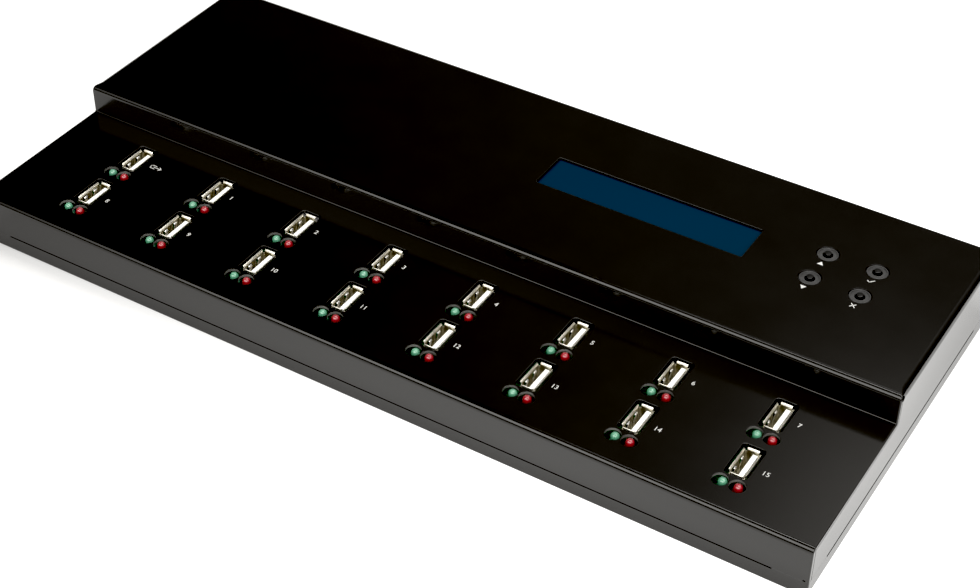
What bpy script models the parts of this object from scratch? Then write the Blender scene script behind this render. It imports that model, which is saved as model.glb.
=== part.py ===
"""Desktop USB flash drive duplicator: a wide flat case of folded sheet steel in two
levels, with two rows of upright USB sockets and a pair of lamps before each on the
low deck, and a character display with four keys on the high deck.

Frame: +X to the right, +Y to the back, +Z up, origin on the ground under the middle
of the whole outline. Sizes below are in millimetres and in the frame of the case,
whose centre lies CASE_SHIFT behind the origin.
"""

import math

import bpy
import bmesh
from mathutils import Matrix, Vector

MM = 0.001

# ---------------------------------------------------------------- driving sizes
CASE_W = 352.6          # along X
CASE_D = 161.5          # along Y
SHEET = 1.0             # sheet steel
FOOT_H = 2.0            # ground to underside of the case
LOW_DECK_H = 21.8       # underside of the case to the low deck
HIGH_DECK_H = 33.8      # underside of the case to the high deck
RISER_Y = -12.8         # front face of the step between the decks
BEND_R = 2.2            # outer radius of the folds along X
SIDE_R = 2.6            # outer radius of the folds along Y
INNER_BEND_R = 0.8      # fold at the foot of the step
SEAM_TOP = 6.5          # lower edge of the cover above the underside
SEAM_GAP = 0.6
LIP_SET_BACK = 1.4      # how far the tray's inner lip stands inside its outer wall
LIP_TOP = 11.2          # ground to top of that lip
TAB_TOP = 27.0          # ground to top of the two tabs that take the rear screws

PITCH = 40.0
PORT_X0 = -139.6
PORT_ROWS = (-55.9, -29.9)
PORT_COLUMNS = 8
CUT_W, CUT_L, CUT_R = 8.4, 16.0, 1.5
SHELL_W, SHELL_L = 5.7, 13.1
MOUTH_W, MOUTH_L = 7.2, 14.5
CAVITY_W, CAVITY_L = 5.12, 12.5
FLARE_H = 0.8
MOUTH_DROP = 0.2        # mouth below the deck's surface
TONGUE_X = (0.30, 2.15)
TONGUE_L = 11.1
TONGUE_DROP = 1.75      # tongue's tip below the mouth

LAMP_HOLE_X, LAMP_HOLE_Y = (-3.3, 2.9), -11.9
LAMP_HOLE_R = 2.9
LAMP_GREEN_X, LAMP_RED_X, LAMP_Y = -2.3, 3.4, -12.2
LAMP_R = 1.6
LAMP_RISE = 1.2         # dome above the deck's surface

WINDOW = (10.6, 97.3, 27.4, 46.0)
KEY_X = (123.5, 142.9)
KEY_Y = (45.6, 29.6)
KEY_HOLE_R = 4.25
KEY_STEM_R = 1.4
KEY_STEM_PROUD = 0.7
KEY_TRAVEL = 0.5

SWITCH_X, SWITCH_Z = -100.0, 20.0
SWITCH_TILT = 10.0      # degrees each way
JACK_X, JACK_Z = -60.0, 15.4
SCREW_X, SCREW_Z = 150.0, 22.0

GAP = 0.3               # between pieces that touch on the real thing

HALF_W = CASE_W / 2
HALF_D = CASE_D / 2
LOW_DECK = FOOT_H + LOW_DECK_H
HIGH_DECK = FOOT_H + HIGH_DECK_H
COVER_EDGE = FOOT_H + SEAM_TOP
BOARD_Z = 8.0
BOARD_T = 1.6
BOARD_TOP = BOARD_Z + BOARD_T

# rocker, in its own plane: across (X) and out of the case (Y), from its pivot
ROCKER_OUTLINE = (
    (-6.9, 2.6), (0.0, 1.5), (6.9, 2.6), (6.9, -0.6),
    (3.0, -3.0), (-3.0, -3.0), (-6.9, -0.6),
)
BEZEL_BACK = HALF_D + GAP
BEZEL_T = 1.6
PIVOT_Y = BEZEL_BACK + BEZEL_T - 1.0


def rocker_reach():
    """How far the tilted rocker stands behind its pivot."""
    a = math.radians(SWITCH_TILT)
    return max(u * math.sin(a) + w * math.cos(a) for u, w in ROCKER_OUTLINE)


CASE_SHIFT = -(PIVOT_Y + rocker_reach() - HALF_D) / 2

# --------------------------------------------------------------------- scene
for old in list(bpy.data.objects):
    bpy.data.objects.remove(old, do_unlink=True)

scene = bpy.context.scene
parts = bpy.data.collections.new("usb_flash_drive_duplicator")
cutters = bpy.data.collections.new("cutters")
scene.collection.children.link(parts)
scene.collection.children.link(cutters)

root = bpy.data.objects.new("case_frame", None)
root.location = (0.0, CASE_SHIFT * MM, 0.0)
parts.objects.link(root)


def material(name, colour, roughness, metallic=0.0):
    made = bpy.data.materials.new(name)
    made.use_nodes = True
    shader = made.node_tree.nodes["Principled BSDF"]
    shader.inputs["Base Color"].default_value = (*colour, 1.0)
    shader.inputs["Roughness"].default_value = roughness
    shader.inputs["Metallic"].default_value = metallic
    return made


BLACK_COAT = material("black_powder_coat", (0.012, 0.012, 0.012), 0.32)
NICKEL = material("nickel_shell", (0.62, 0.60, 0.54), 0.22, 1.0)
LAMP_BLACK = material("lamp_holder", (0.02, 0.02, 0.02), 0.5)
GREEN_BOARD = material("circuit_board", (0.02, 0.16, 0.06), 0.45)
TIN_FRAME = material("tinned_steel", (0.45, 0.45, 0.46), 0.3, 1.0)
DISPLAY_BLUE = material("display_blue", (0.0, 0.03, 0.07), 0.15)
WHITE_MOULDING = material("white_moulding", (0.8, 0.8, 0.78), 0.4)
GREY_RING = material("grey_moulding", (0.10, 0.10, 0.10), 0.6)
BLACK_PLASTIC = material("black_plastic", (0.015, 0.015, 0.015), 0.4)
RUBBER = material("rubber", (0.02, 0.02, 0.02), 0.85)
ZINC = material("zinc_screw", (0.05, 0.05, 0.05), 0.35, 1.0)
RIBBON_GREY = material("ribbon_grey", (0.35, 0.35, 0.36), 0.6)


# ------------------------------------------------------------------- helpers
def mesh_of(bm, name):
    bmesh.ops.remove_doubles(bm, verts=bm.verts, dist=1e-7)
    bmesh.ops.recalc_face_normals(bm, faces=bm.faces)
    made = bpy.data.meshes.new(name)
    bm.to_mesh(made)
    bm.free()
    return made


def add_box(bm, lo, hi):
    """A box between two corners, in millimetres."""
    lo, hi = Vector(lo), Vector(hi)
    size = (hi - lo) * MM
    bmesh.ops.create_cube(
        bm, size=1.0,
        matrix=Matrix.Translation((lo + hi) * (MM / 2)) @ Matrix.Diagonal((*size, 1.0)),
    )


TO_AXIS = {
    "X": Matrix.Rotation(math.radians(90), 4, "Y"),
    "Y": Matrix.Rotation(math.radians(-90), 4, "X"),
    "Z": Matrix.Identity(4),
}


def add_cylinder(bm, centre, axis, radius, low, high, segments):
    """A cylinder whose axis passes through centre, from low to high along it."""
    along = Vector((axis == "X", axis == "Y", axis == "Z"))
    centre = Vector(centre)
    middle = centre - along * centre.dot(along) + along * ((low + high) / 2)
    turn = Matrix.Rotation(math.pi / segments, 4, "Z")
    bmesh.ops.create_cone(
        bm, cap_ends=True, cap_tris=False, segments=segments,
        radius1=radius * MM, radius2=radius * MM, depth=(high - low) * MM,
        matrix=Matrix.Translation(middle * MM) @ TO_AXIS[axis] @ turn,
    )


def evaluated_mesh(obj, name):
    bpy.context.view_layer.update()
    graph = bpy.context.evaluated_depsgraph_get()
    return bpy.data.meshes.new_from_object(obj.evaluated_get(graph))


def prism(name, outline, plane, low, high):
    """A flat outline, in millimetres, drawn in the plane YZ, XZ or XY and extruded
    from low to high along the third axis."""
    data = bpy.data.curves.new(name, "CURVE")
    data.dimensions = "2D"
    data.fill_mode = "BOTH"
    data.extrude = (high - low) / 2 * MM
    line = data.splines.new("POLY")
    line.points.add(len(outline) - 1)
    line.use_cyclic_u = True
    for point, (a, b) in zip(line.points, outline):
        point.co = (a * MM, b * MM, 0.0, 1.0)
    flat = bpy.data.objects.new(name + "_outline", data)
    cutters.objects.link(flat)
    made = evaluated_mesh(flat, name)
    bpy.data.objects.remove(flat, do_unlink=True)
    frames = {
        "XY": Matrix(((1, 0, 0, 0), (0, 1, 0, 0), (0, 0, 1, 0), (0, 0, 0, 1))),
        "YZ": Matrix(((0, 0, 1, 0), (1, 0, 0, 0), (0, 1, 0, 0), (0, 0, 0, 1))),
        "XZ": Matrix(((1, 0, 0, 0), (0, 0, 1, 0), (0, 1, 0, 0), (0, 0, 0, 1))),
    }
    middle = (low + high) / 2 * MM
    shift = {"XY": (0, 0, middle), "YZ": (middle, 0, 0), "XZ": (0, middle, 0)}[plane]
    made.transform(Matrix.Translation(shift) @ frames[plane])
    bm = bmesh.new()
    bm.from_mesh(made)
    bpy.data.meshes.remove(made)
    bmesh.ops.remove_doubles(bm, verts=bm.verts, dist=1e-6)
    return mesh_of(bm, name)


def turned(name, profile, segments, closed=False):
    """A profile of (radius, height) pairs turned about Z with a Screw modifier."""
    data = bpy.data.meshes.new(name + "_profile")
    count = len(profile)
    edges = [(i, i + 1) for i in range(count - 1)]
    if closed:
        edges.append((count - 1, 0))
    data.from_pydata([(r * MM, 0.0, z * MM) for r, z in profile], edges, [])
    shape = bpy.data.objects.new(name + "_profile", data)
    cutters.objects.link(shape)
    screw = shape.modifiers.new("turn", "SCREW")
    screw.axis = "Z"
    screw.steps = segments
    screw.render_steps = segments
    screw.use_merge_vertices = True
    screw.merge_threshold = 1e-6
    made = evaluated_mesh(shape, name)
    bpy.data.objects.remove(shape, do_unlink=True)
    bm = bmesh.new()
    bm.from_mesh(made)
    bpy.data.meshes.remove(made)
    bmesh.ops.remove_doubles(bm, verts=bm.verts, dist=1e-6)
    return mesh_of(bm, name)


def arc(cy, cz, radius, start, end, steps):
    """Points of an arc, angles in degrees."""
    found = []
    for i in range(steps + 1):
        a = math.radians(start + (end - start) * i / steps)
        found.append((cy + radius * math.cos(a), cz + radius * math.sin(a)))
    return found


def round_rect(x0, x1, y0, y1, radius, steps):
    return (
        arc(x1 - radius, y1 - radius, radius, 0, 90, steps)
        + arc(x0 + radius, y1 - radius, radius, 90, 180, steps)
        + arc(x0 + radius, y0 + radius, radius, 180, 270, steps)
        + arc(x1 - radius, y0 + radius, radius, 270, 360, steps)
    )


def band(line, thickness):
    """The outline of a strip of this thickness along a line of points."""
    left, right = [], []
    for i, (a, b) in enumerate(line):
        a0, b0 = line[max(i - 1, 0)]
        a1, b1 = line[min(i + 1, len(line) - 1)]
        run = math.hypot(a1 - a0, b1 - b0)
        na, nb = -(b1 - b0) / run, (a1 - a0) / run
        left.append((a + na * thickness / 2, b + nb * thickness / 2))
        right.append((a - na * thickness / 2, b - nb * thickness / 2))
    return left + right[::-1]


def node(name, mesh, finish, location=(0, 0, 0), rotation=(0, 0, 0), smooth=False):
    made = bpy.data.objects.new(name, mesh)
    if not mesh.materials:
        mesh.materials.append(finish)
    if smooth:
        mesh.shade_smooth()
        mesh.set_sharp_from_angle(angle=math.radians(35))
    made.location = Vector(location) * MM
    made.rotation_euler = rotation
    made.parent = root
    parts.objects.link(made)
    return made


def helper(name, mesh):
    made = bpy.data.objects.new(name, mesh)
    made.parent = root
    made.hide_render = True
    made.display_type = "WIRE"
    cutters.objects.link(made)
    return made


def boolean(obj, tool, operation):
    step = obj.modifiers.new(tool.name, "BOOLEAN")
    step.operation = operation
    step.solver = "EXACT"
    step.object = tool
    return step


def box_mesh(name, *boxes):
    bm = bmesh.new()
    for lo, hi in boxes:
        add_box(bm, lo, hi)
    return mesh_of(bm, name)


def cylinder_mesh(name, *cylinders):
    bm = bmesh.new()
    for one in cylinders:
        add_cylinder(bm, *one)
    return mesh_of(bm, name)


# -------------------------------------------------------------- port positions
PORTS = []
for row, port_y in enumerate(PORT_ROWS):
    for column in range(PORT_COLUMNS):
        PORTS.append((PORT_X0 + PITCH * column, port_y))


# ------------------------------------------------------------------- top cover
def side_outline(inset, low):
    """The cover seen from its side, in (Y, Z), inset by this much."""
    front, back = -HALF_D + inset, HALF_D - inset
    low_deck, high_deck = LOW_DECK - inset, HIGH_DECK - inset
    step = RISER_Y + inset
    r = BEND_R - inset
    fillet = INNER_BEND_R + inset
    outline = [(front, low)]
    outline += arc(front + r, low_deck - r, r, 180, 90, 3)
    outline += arc(step - fillet, low_deck + fillet, fillet, -90, 0, 2)
    outline += arc(step + r, high_deck - r, r, 180, 90, 3)
    outline += arc(back - r, high_deck - r, r, 90, 0, 3)
    outline.append((back, low))
    return outline


def end_outline(inset, low):
    """The cover seen from its front, in (X, Z), inset by this much."""
    half, top, r = HALF_W - inset, HIGH_DECK - inset, SIDE_R - inset
    outline = [(-half, low)]
    outline += arc(-half + r, top - r, r, 180, 90, 3)
    outline += arc(half - r, top - r, r, 90, 0, 3)
    outline.append((half, low))
    return outline


cover = node(
    "top_cover",
    prism("top_cover", side_outline(0.0, COVER_EDGE), "YZ", -HALF_W - 1, HALF_W + 1),
    BLACK_COAT,
)
boolean(
    cover,
    helper("cover_ends", prism(
        "cover_ends", end_outline(0.0, COVER_EDGE - 3), "XZ", -HALF_D - 3, HALF_D + 3)),
    "INTERSECT",
)
hollow = helper("cover_hollow", prism(
    "cover_hollow", side_outline(SHEET, COVER_EDGE - 4), "YZ", -HALF_W + 0.4, HALF_W - 0.4))
boolean(
    hollow,
    helper("hollow_ends", prism(
        "hollow_ends", end_outline(SHEET, COVER_EDGE - 6), "XZ", -HALF_D - 3, HALF_D + 3)),
    "INTERSECT",
)
boolean(cover, hollow, "DIFFERENCE")

# openings of the two decks
socket_cut = prism(
    "socket_cut",
    round_rect(-CUT_W / 2, CUT_W / 2, -CUT_L / 2, CUT_L / 2, CUT_R, 3),
    "XY", LOW_DECK - SHEET - 2, LOW_DECK + 2,
)
bm = bmesh.new()
for x, y in PORTS:
    placed = socket_cut.copy()
    placed.transform(Matrix.Translation(Vector((x, y, 0)) * MM))
    bm.from_mesh(placed)
    bpy.data.meshes.remove(placed)
    for hole_x in LAMP_HOLE_X:
        add_cylinder(
            bm, (x + hole_x, y + LAMP_HOLE_Y, 0), "Z", LAMP_HOLE_R,
            LOW_DECK - SHEET - 2, LOW_DECK + 2, 12,
        )
boolean(cover, helper("low_deck_holes", mesh_of(bm, "low_deck_holes")), "DIFFERENCE")

bm = bmesh.new()
add_box(
    bm,
    (WINDOW[0], WINDOW[2], HIGH_DECK - SHEET - 2),
    (WINDOW[1], WINDOW[3], HIGH_DECK + 2),
)
for x in KEY_X:
    for y in KEY_Y:
        add_cylinder(
            bm, (x, y, 0), "Z", KEY_HOLE_R, HIGH_DECK - SHEET - 2, HIGH_DECK + 2, 16)
boolean(cover, helper("high_deck_holes", mesh_of(bm, "high_deck_holes")), "DIFFERENCE")

# openings of the back: rocker switch, inlet and two screws
SWITCH_CUT = (19.4, 13.2)
bm = bmesh.new()
add_box(
    bm,
    (SWITCH_X - SWITCH_CUT[0] / 2, HALF_D - SHEET - 0.2, SWITCH_Z - SWITCH_CUT[1] / 2),
    (SWITCH_X + SWITCH_CUT[0] / 2, HALF_D + 3, SWITCH_Z + SWITCH_CUT[1] / 2),
)
add_cylinder(bm, (JACK_X, 0, JACK_Z), "Y", 4.2, HALF_D - SHEET - 0.2, HALF_D + 3, 16)
for side in (-1, 1):
    add_cylinder(
        bm, (side * SCREW_X, 0, SCREW_Z), "Y", 1.75, HALF_D - SHEET - 0.2, HALF_D + 3, 10)
boolean(cover, helper("rear_holes", mesh_of(bm, "rear_holes")), "DIFFERENCE")

# studs welded under the high deck, which carry the display and the key board
DISPLAY_CX = (WINDOW[0] + WINDOW[1]) / 2
DISPLAY_CY = (WINDOW[2] + WINDOW[3]) / 2
KEYS_CX = sum(KEY_X) / 2
KEYS_CY = sum(KEY_Y) / 2
studs = []
for sx in (-1, 1):
    for sy in (-1, 1):
        studs.append((
            (DISPLAY_CX + sx * 55.0, DISPLAY_CY + sy * 15.5, 0), "Z", 2.0,
            26.5, HIGH_DECK - SHEET / 2, 8))
        studs.append((
            (KEYS_CX + sx * 14.5, KEYS_CY + sy * 14.0, 0), "Z", 2.0,
            29.3, HIGH_DECK - SHEET / 2, 8))
boolean(cover, helper("deck_studs", cylinder_mesh("deck_studs", *studs)), "UNION")

# -------------------------------------------------------------------- base tray
wall_top = COVER_EDGE - SEAM_GAP
lip = LIP_SET_BACK
tray = node(
    "base_tray",
    box_mesh("base_tray", ((-HALF_W, -HALF_D, FOOT_H), (HALF_W, HALF_D, wall_top))),
    BLACK_COAT,
)
boolean(
    tray,
    helper("tray_groove", box_mesh("tray_groove", (
        (-HALF_W + SHEET, -HALF_D + SHEET, FOOT_H + SHEET),
        (HALF_W - SHEET, HALF_D - SHEET, wall_top - SHEET)))),
    "DIFFERENCE",
)
inner = lip + SHEET + 0.2
boolean(
    tray,
    helper("tray_hollow", box_mesh("tray_hollow", (
        (-HALF_W + inner, -HALF_D + inner, FOOT_H + SHEET + 0.1),
        (HALF_W - inner, HALF_D - inner, wall_top + 5)))),
    "DIFFERENCE",
)
lip_ring = helper("tray_lip", box_mesh("tray_lip", (
    (-HALF_W + lip, -HALF_D + lip, wall_top - SHEET / 2),
    (HALF_W - lip, HALF_D - lip, LIP_TOP))))
boolean(
    lip_ring,
    helper("tray_lip_hollow", box_mesh("tray_lip_hollow", (
        (-HALF_W + lip + SHEET, -HALF_D + lip + SHEET, wall_top - 3),
        (HALF_W - lip - SHEET, HALF_D - lip - SHEET, LIP_TOP + 3)))),
    "DIFFERENCE",
)
boolean(tray, lip_ring, "UNION")
boolean(
    tray,
    helper("screw_tabs", box_mesh("screw_tabs", *(
        ((side * SCREW_X - 8, HALF_D - lip - SHEET - 0.15, wall_top - 0.3),
         (side * SCREW_X + 8, HALF_D - lip - 0.05, TAB_TOP))
        for side in (-1, 1)))),
    "UNION",
)
boolean(
    tray,
    helper("tab_holes", cylinder_mesh("tab_holes", *(
        ((side * SCREW_X, 0, SCREW_Z), "Y", 1.9, HALF_D - lip - SHEET - 2,
         HALF_D - lip + 0.2, 10)
        for side in (-1, 1)))),
    "DIFFERENCE",
)

standoffs = []
for x in (-160.0, -80.0, 0.0, 80.0, 160.0):
    for y in (-70.0, -22.0):
        standoffs.append(((x, y, 0), "Z", 2.5, FOOT_H + SHEET / 2, BOARD_Z - GAP, 8))
for x in (-146.0, -14.0):
    for y in (-2.0, 68.0):
        standoffs.append(((x, y, 0), "Z", 2.5, FOOT_H + SHEET / 2, BOARD_Z - GAP, 8))
boolean(tray, helper("standoffs", cylinder_mesh("standoffs", *standoffs)), "UNION")

# ------------------------------------------------------------------------- feet
FOOT_X, FOOT_Y = 155.0, 62.0
foot_mesh = turned(
    "foot", [(0, FOOT_H - GAP), (6.4, FOOT_H - GAP), (6.1, 0.35), (5.7, 0), (0, 0)], 16)
for name, sx, sy in (
    ("foot_front_left", -1, -1), ("foot_front_right", 1, -1),
    ("foot_rear_left", -1, 1), ("foot_rear_right", 1, 1),
):
    node(name, foot_mesh, RUBBER, (sx * FOOT_X, sy * FOOT_Y, 0), smooth=True)

# ------------------------------------------------------------------ port board
port_board = node(
    "port_board",
    box_mesh("port_board", ((-168.0, -74.0, BOARD_Z), (168.0, -18.0, BOARD_TOP))),
    GREEN_BOARD,
)
chips = [
    ((x - 5, -45.5, BOARD_TOP - 0.5), (x + 5, -37.5, BOARD_TOP + 1.0))
    for x in (-119.6, -39.6, 40.4, 120.4)
]
chips.append(((-76.0, -22.0, BOARD_TOP - 0.5), (-44.0, -18.6, BOARD_TOP + 2.6)))
boolean(port_board, helper("port_board_parts", box_mesh("port_board_parts", *chips)), "UNION")


# --------------------------------------------------------------- USB sockets
def socket_mesh():
    """An upright receptacle, from its seat at height 0: shell with flared mouth, and
    the moulding inside it with its tongue."""
    body_top = LOW_DECK - MOUTH_DROP - FLARE_H - BOARD_TOP - GAP
    mouth = body_top + FLARE_H
    made = bmesh.new()

    def set_size(face, x0, x1, y0, y1, z):
        centre = face.calc_center_median()
        for vert in face.verts:
            vert.co.x = (x1 if vert.co.x > centre.x else x0) * MM
            vert.co.y = (y1 if vert.co.y > centre.y else y0) * MM
            vert.co.z = z * MM

    def extrude(face):
        grown = bmesh.ops.extrude_face_region(made, geom=[face])["geom"]
        bmesh.ops.delete(made, geom=[face], context="FACES_ONLY")
        return [g for g in grown if isinstance(g, bmesh.types.BMFace)][0]

    def inset(face, x0, x1, y0, y1, z):
        bmesh.ops.inset_region(made, faces=[face], thickness=0.2 * MM, depth=0.0)
        set_size(face, x0, x1, y0, y1, z)
        return face

    add_box(made, (-SHELL_W / 2, -SHELL_L / 2, 0), (SHELL_W / 2, SHELL_L / 2, body_top))
    made.faces.ensure_lookup_table()
    face = max(made.faces, key=lambda f: f.calc_center_median().z)
    face = extrude(face)
    set_size(face, -MOUTH_W / 2, MOUTH_W / 2, -MOUTH_L / 2, MOUTH_L / 2, mouth)
    rim = 0.35
    face = inset(
        face, -MOUTH_W / 2 + rim, MOUTH_W / 2 - rim,
        -MOUTH_L / 2 + rim, MOUTH_L / 2 - rim, mouth)
    face = extrude(face)
    set_size(face, -CAVITY_W / 2, CAVITY_W / 2, -CAVITY_L / 2, CAVITY_L / 2,
             body_top - 0.1)
    face = extrude(face)
    set_size(face, -CAVITY_W / 2, CAVITY_W / 2, -CAVITY_L / 2, CAVITY_L / 2, 2.6)
    face = inset(
        face, TONGUE_X[0], TONGUE_X[1], -TONGUE_L / 2, TONGUE_L / 2, 2.6)
    face = extrude(face)
    set_size(face, TONGUE_X[0], TONGUE_X[1], -TONGUE_L / 2, TONGUE_L / 2,
             mouth - TONGUE_DROP)
    return mesh_of(made, "usb_socket")


usb_socket = socket_mesh()
for number, (x, y) in enumerate(PORTS):
    row, column = divmod(number, PORT_COLUMNS)
    name = f"usb_socket_{'front' if row == 0 else 'rear'}_{column + 1}"
    node(name, usb_socket, NICKEL, (x, y, BOARD_TOP + GAP))


# ------------------------------------------------------------------- lamp pairs
def lamp_pair_mesh():
    """Two domed lamps on the spacer that holds them up to the deck, from its seat at
    height 0, centred between the lamps."""
    top = LOW_DECK + LAMP_RISE - BOARD_TOP - GAP
    seat = top - 5.4
    half = (LAMP_RED_X - LAMP_GREEN_X) / 2
    block = bpy.data.objects.new("spacer", box_mesh(
        "spacer", ((-half - 2.1, -2.2, 0), (half + 2.1, 2.2, seat))))
    cutters.objects.link(block)
    block.hide_render = True
    profile = [(0, top)]
    profile += [
        (LAMP_R * math.cos(math.radians(a)), top - LAMP_R * (1 - math.sin(math.radians(a))))
        for a in (48, 0)
    ]
    profile += [(LAMP_R, seat - 0.6), (0, seat - 0.6)]
    lamp = turned("lamp", profile, 8)
    tools = [block]
    for side in (-1, 1):
        one = bpy.data.objects.new("lamp_tool", lamp)
        one.location = Vector((side * half, 0, 0)) * MM
        one.hide_render = True
        cutters.objects.link(one)
        step = block.modifiers.new("lamp", "BOOLEAN")
        step.operation = "UNION"
        step.object = one
        tools.append(one)
    made = evaluated_mesh(block, "led_pair")
    for tool in tools:
        bpy.data.objects.remove(tool, do_unlink=True)
    return made


led_pair = lamp_pair_mesh()
for number, (x, y) in enumerate(PORTS):
    row, column = divmod(number, PORT_COLUMNS)
    name = f"led_pair_{'front' if row == 0 else 'rear'}_{column + 1}"
    node(
        name, led_pair, LAMP_BLACK,
        (x + (LAMP_GREEN_X + LAMP_RED_X) / 2, y + LAMP_Y, BOARD_TOP + GAP))

# ------------------------------------------------------------------ main board
main_board = node(
    "main_board",
    box_mesh("main_board", ((-152.0, -8.0, BOARD_Z), (-8.0, 75.5, BOARD_TOP))),
    GREEN_BOARD,
)
main_parts = [
    ((-98.0, 20.0), (-80.0, 38.0), 1.6),
    ((-66.0, 24.0), (-50.0, 32.0), 1.2),
    ((-128.0, 22.0), (-114.0, 34.0), 1.2),
    ((-76.0, -7.0), (-44.0, -3.6), 2.6),
    ((-17.0, 30.0), (-12.0, 47.0), 2.6),
]
boolean(
    main_board,
    helper("main_board_parts", box_mesh("main_board_parts", *(
        ((x0, y0, BOARD_TOP - 0.5), (x1, y1, BOARD_TOP + h))
        for (x0, y0), (x1, y1), h in main_parts))),
    "UNION",
)

# ---------------------------------------------------------------- display stack
GLASS_TOP = HIGH_DECK - SHEET - GAP
GLASS_W, GLASS_D, GLASS_T = 92.0, 24.0, 2.8
node(
    "lcd_glass",
    box_mesh("lcd_glass", (
        (DISPLAY_CX - GLASS_W / 2, DISPLAY_CY - GLASS_D / 2, GLASS_TOP - GLASS_T),
        (DISPLAY_CX + GLASS_W / 2, DISPLAY_CY + GLASS_D / 2, GLASS_TOP))),
    DISPLAY_BLUE,
)
LCD_BOARD_TOP = 26.2
node(
    "lcd_backlight",
    box_mesh("lcd_backlight", (
        (DISPLAY_CX - GLASS_W / 2, DISPLAY_CY - GLASS_D / 2, LCD_BOARD_TOP + GAP),
        (DISPLAY_CX + GLASS_W / 2, DISPLAY_CY + GLASS_D / 2, GLASS_TOP - GLASS_T - GAP))),
    WHITE_MOULDING,
)
lcd_frame = node(
    "lcd_frame",
    box_mesh("lcd_frame", (
        (DISPLAY_CX - 49.2, DISPLAY_CY - 14.4, LCD_BOARD_TOP + GAP),
        (DISPLAY_CX + 49.2, DISPLAY_CY + 14.4, GLASS_TOP - 0.4))),
    TIN_FRAME,
)
boolean(
    lcd_frame,
    helper("lcd_frame_hole", box_mesh("lcd_frame_hole", (
        (DISPLAY_CX - GLASS_W / 2 - GAP, DISPLAY_CY - GLASS_D / 2 - GAP, 20),
        (DISPLAY_CX + GLASS_W / 2 + GAP, DISPLAY_CY + GLASS_D / 2 + GAP, 40)))),
    "DIFFERENCE",
)
node(
    "lcd_board",
    box_mesh("lcd_board", (
        (DISPLAY_CX - 58.0, DISPLAY_CY - 18.5, LCD_BOARD_TOP - BOARD_T),
        (DISPLAY_CX + 58.0, DISPLAY_CY + 18.5, LCD_BOARD_TOP))),
    GREEN_BOARD,
)

# ------------------------------------------------------------------------- keys
KEY_BOARD_TOP = 29.0
SWITCH_BODY_TOP = KEY_BOARD_TOP + 3.5
WELL_R = 1.8
STEM_TOP = HIGH_DECK + KEY_STEM_PROUD
STEM_LOW = SWITCH_BODY_TOP - 1.5
WELL_LOW = STEM_LOW - KEY_TRAVEL - GAP
key_board = node(
    "key_board",
    box_mesh("key_board", (
        (KEYS_CX - 18.0, KEYS_CY - 17.0, KEY_BOARD_TOP - BOARD_T),
        (KEYS_CX + 18.0, KEYS_CY + 17.0, KEY_BOARD_TOP))),
    GREEN_BOARD,
)
bodies, wells = [], []
for x in KEY_X:
    for y in KEY_Y:
        bodies.append(((x - 3, y - 3, KEY_BOARD_TOP - 0.5), (x + 3, y + 3, SWITCH_BODY_TOP)))
        wells.append(((x, y, 0), "Z", WELL_R, WELL_LOW, SWITCH_BODY_TOP + 2, 12))
boolean(key_board, helper("key_switches", box_mesh("key_switches", *bodies)), "UNION")
boolean(key_board, helper("key_wells", cylinder_mesh("key_wells", *wells)), "DIFFERENCE")

ring_mesh = turned(
    "key_ring",
    [
        (1.95, HIGH_DECK - 0.40), (3.40, HIGH_DECK - 0.40), (3.40, HIGH_DECK - 0.05),
        (3.95, HIGH_DECK - 0.05), (3.95, HIGH_DECK - SHEET - GAP),
        (5.2, HIGH_DECK - SHEET - GAP), (5.2, HIGH_DECK - SHEET - 1.4),
        (1.95, HIGH_DECK - SHEET - 1.4),
    ],
    16, closed=True,
)
# each stem's origin is the middle of its top, on the line it slides along
stem_mesh = turned(
    "key_stem",
    [
        (0, 0), (KEY_STEM_R - 0.2, 0), (KEY_STEM_R, -0.2),
        (KEY_STEM_R, STEM_LOW - STEM_TOP), (0, STEM_LOW - STEM_TOP),
    ],
    12,
)
for word, x, y in (
    ("up", KEY_X[0], KEY_Y[0]), ("ok", KEY_X[1], KEY_Y[0]),
    ("down", KEY_X[0], KEY_Y[1]), ("back", KEY_X[1], KEY_Y[1]),
):
    node(f"key_ring_{word}", ring_mesh, GREY_RING, (x, y, 0), smooth=True)
    node(f"key_stem_{word}", stem_mesh, BLACK_PLASTIC, (x, y, STEM_TOP), smooth=True)

# ----------------------------------------------------------------- power inlet
jack = node(
    "dc_jack",
    box_mesh("dc_jack", (
        (JACK_X - 4.5, 67.0, BOARD_TOP + GAP), (JACK_X + 4.5, 77.9, JACK_Z + 5.5))),
    BLACK_PLASTIC,
)
boolean(
    jack,
    helper("jack_barrel", cylinder_mesh(
        "jack_barrel", ((JACK_X, 0, JACK_Z), "Y", 3.8, 76.5, HALF_D - 0.1, 16))),
    "UNION",
)
boolean(
    jack,
    helper("jack_bore", cylinder_mesh(
        "jack_bore", ((JACK_X, 0, JACK_Z), "Y", 3.2, HALF_D - 9.0, HALF_D + 3, 16))),
    "DIFFERENCE",
)
boolean(
    jack,
    helper("jack_pin", cylinder_mesh(
        "jack_pin", ((JACK_X, 0, JACK_Z), "Y", 1.0, HALF_D - 10.0, HALF_D - 2.1, 8))),
    "UNION",
)

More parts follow.
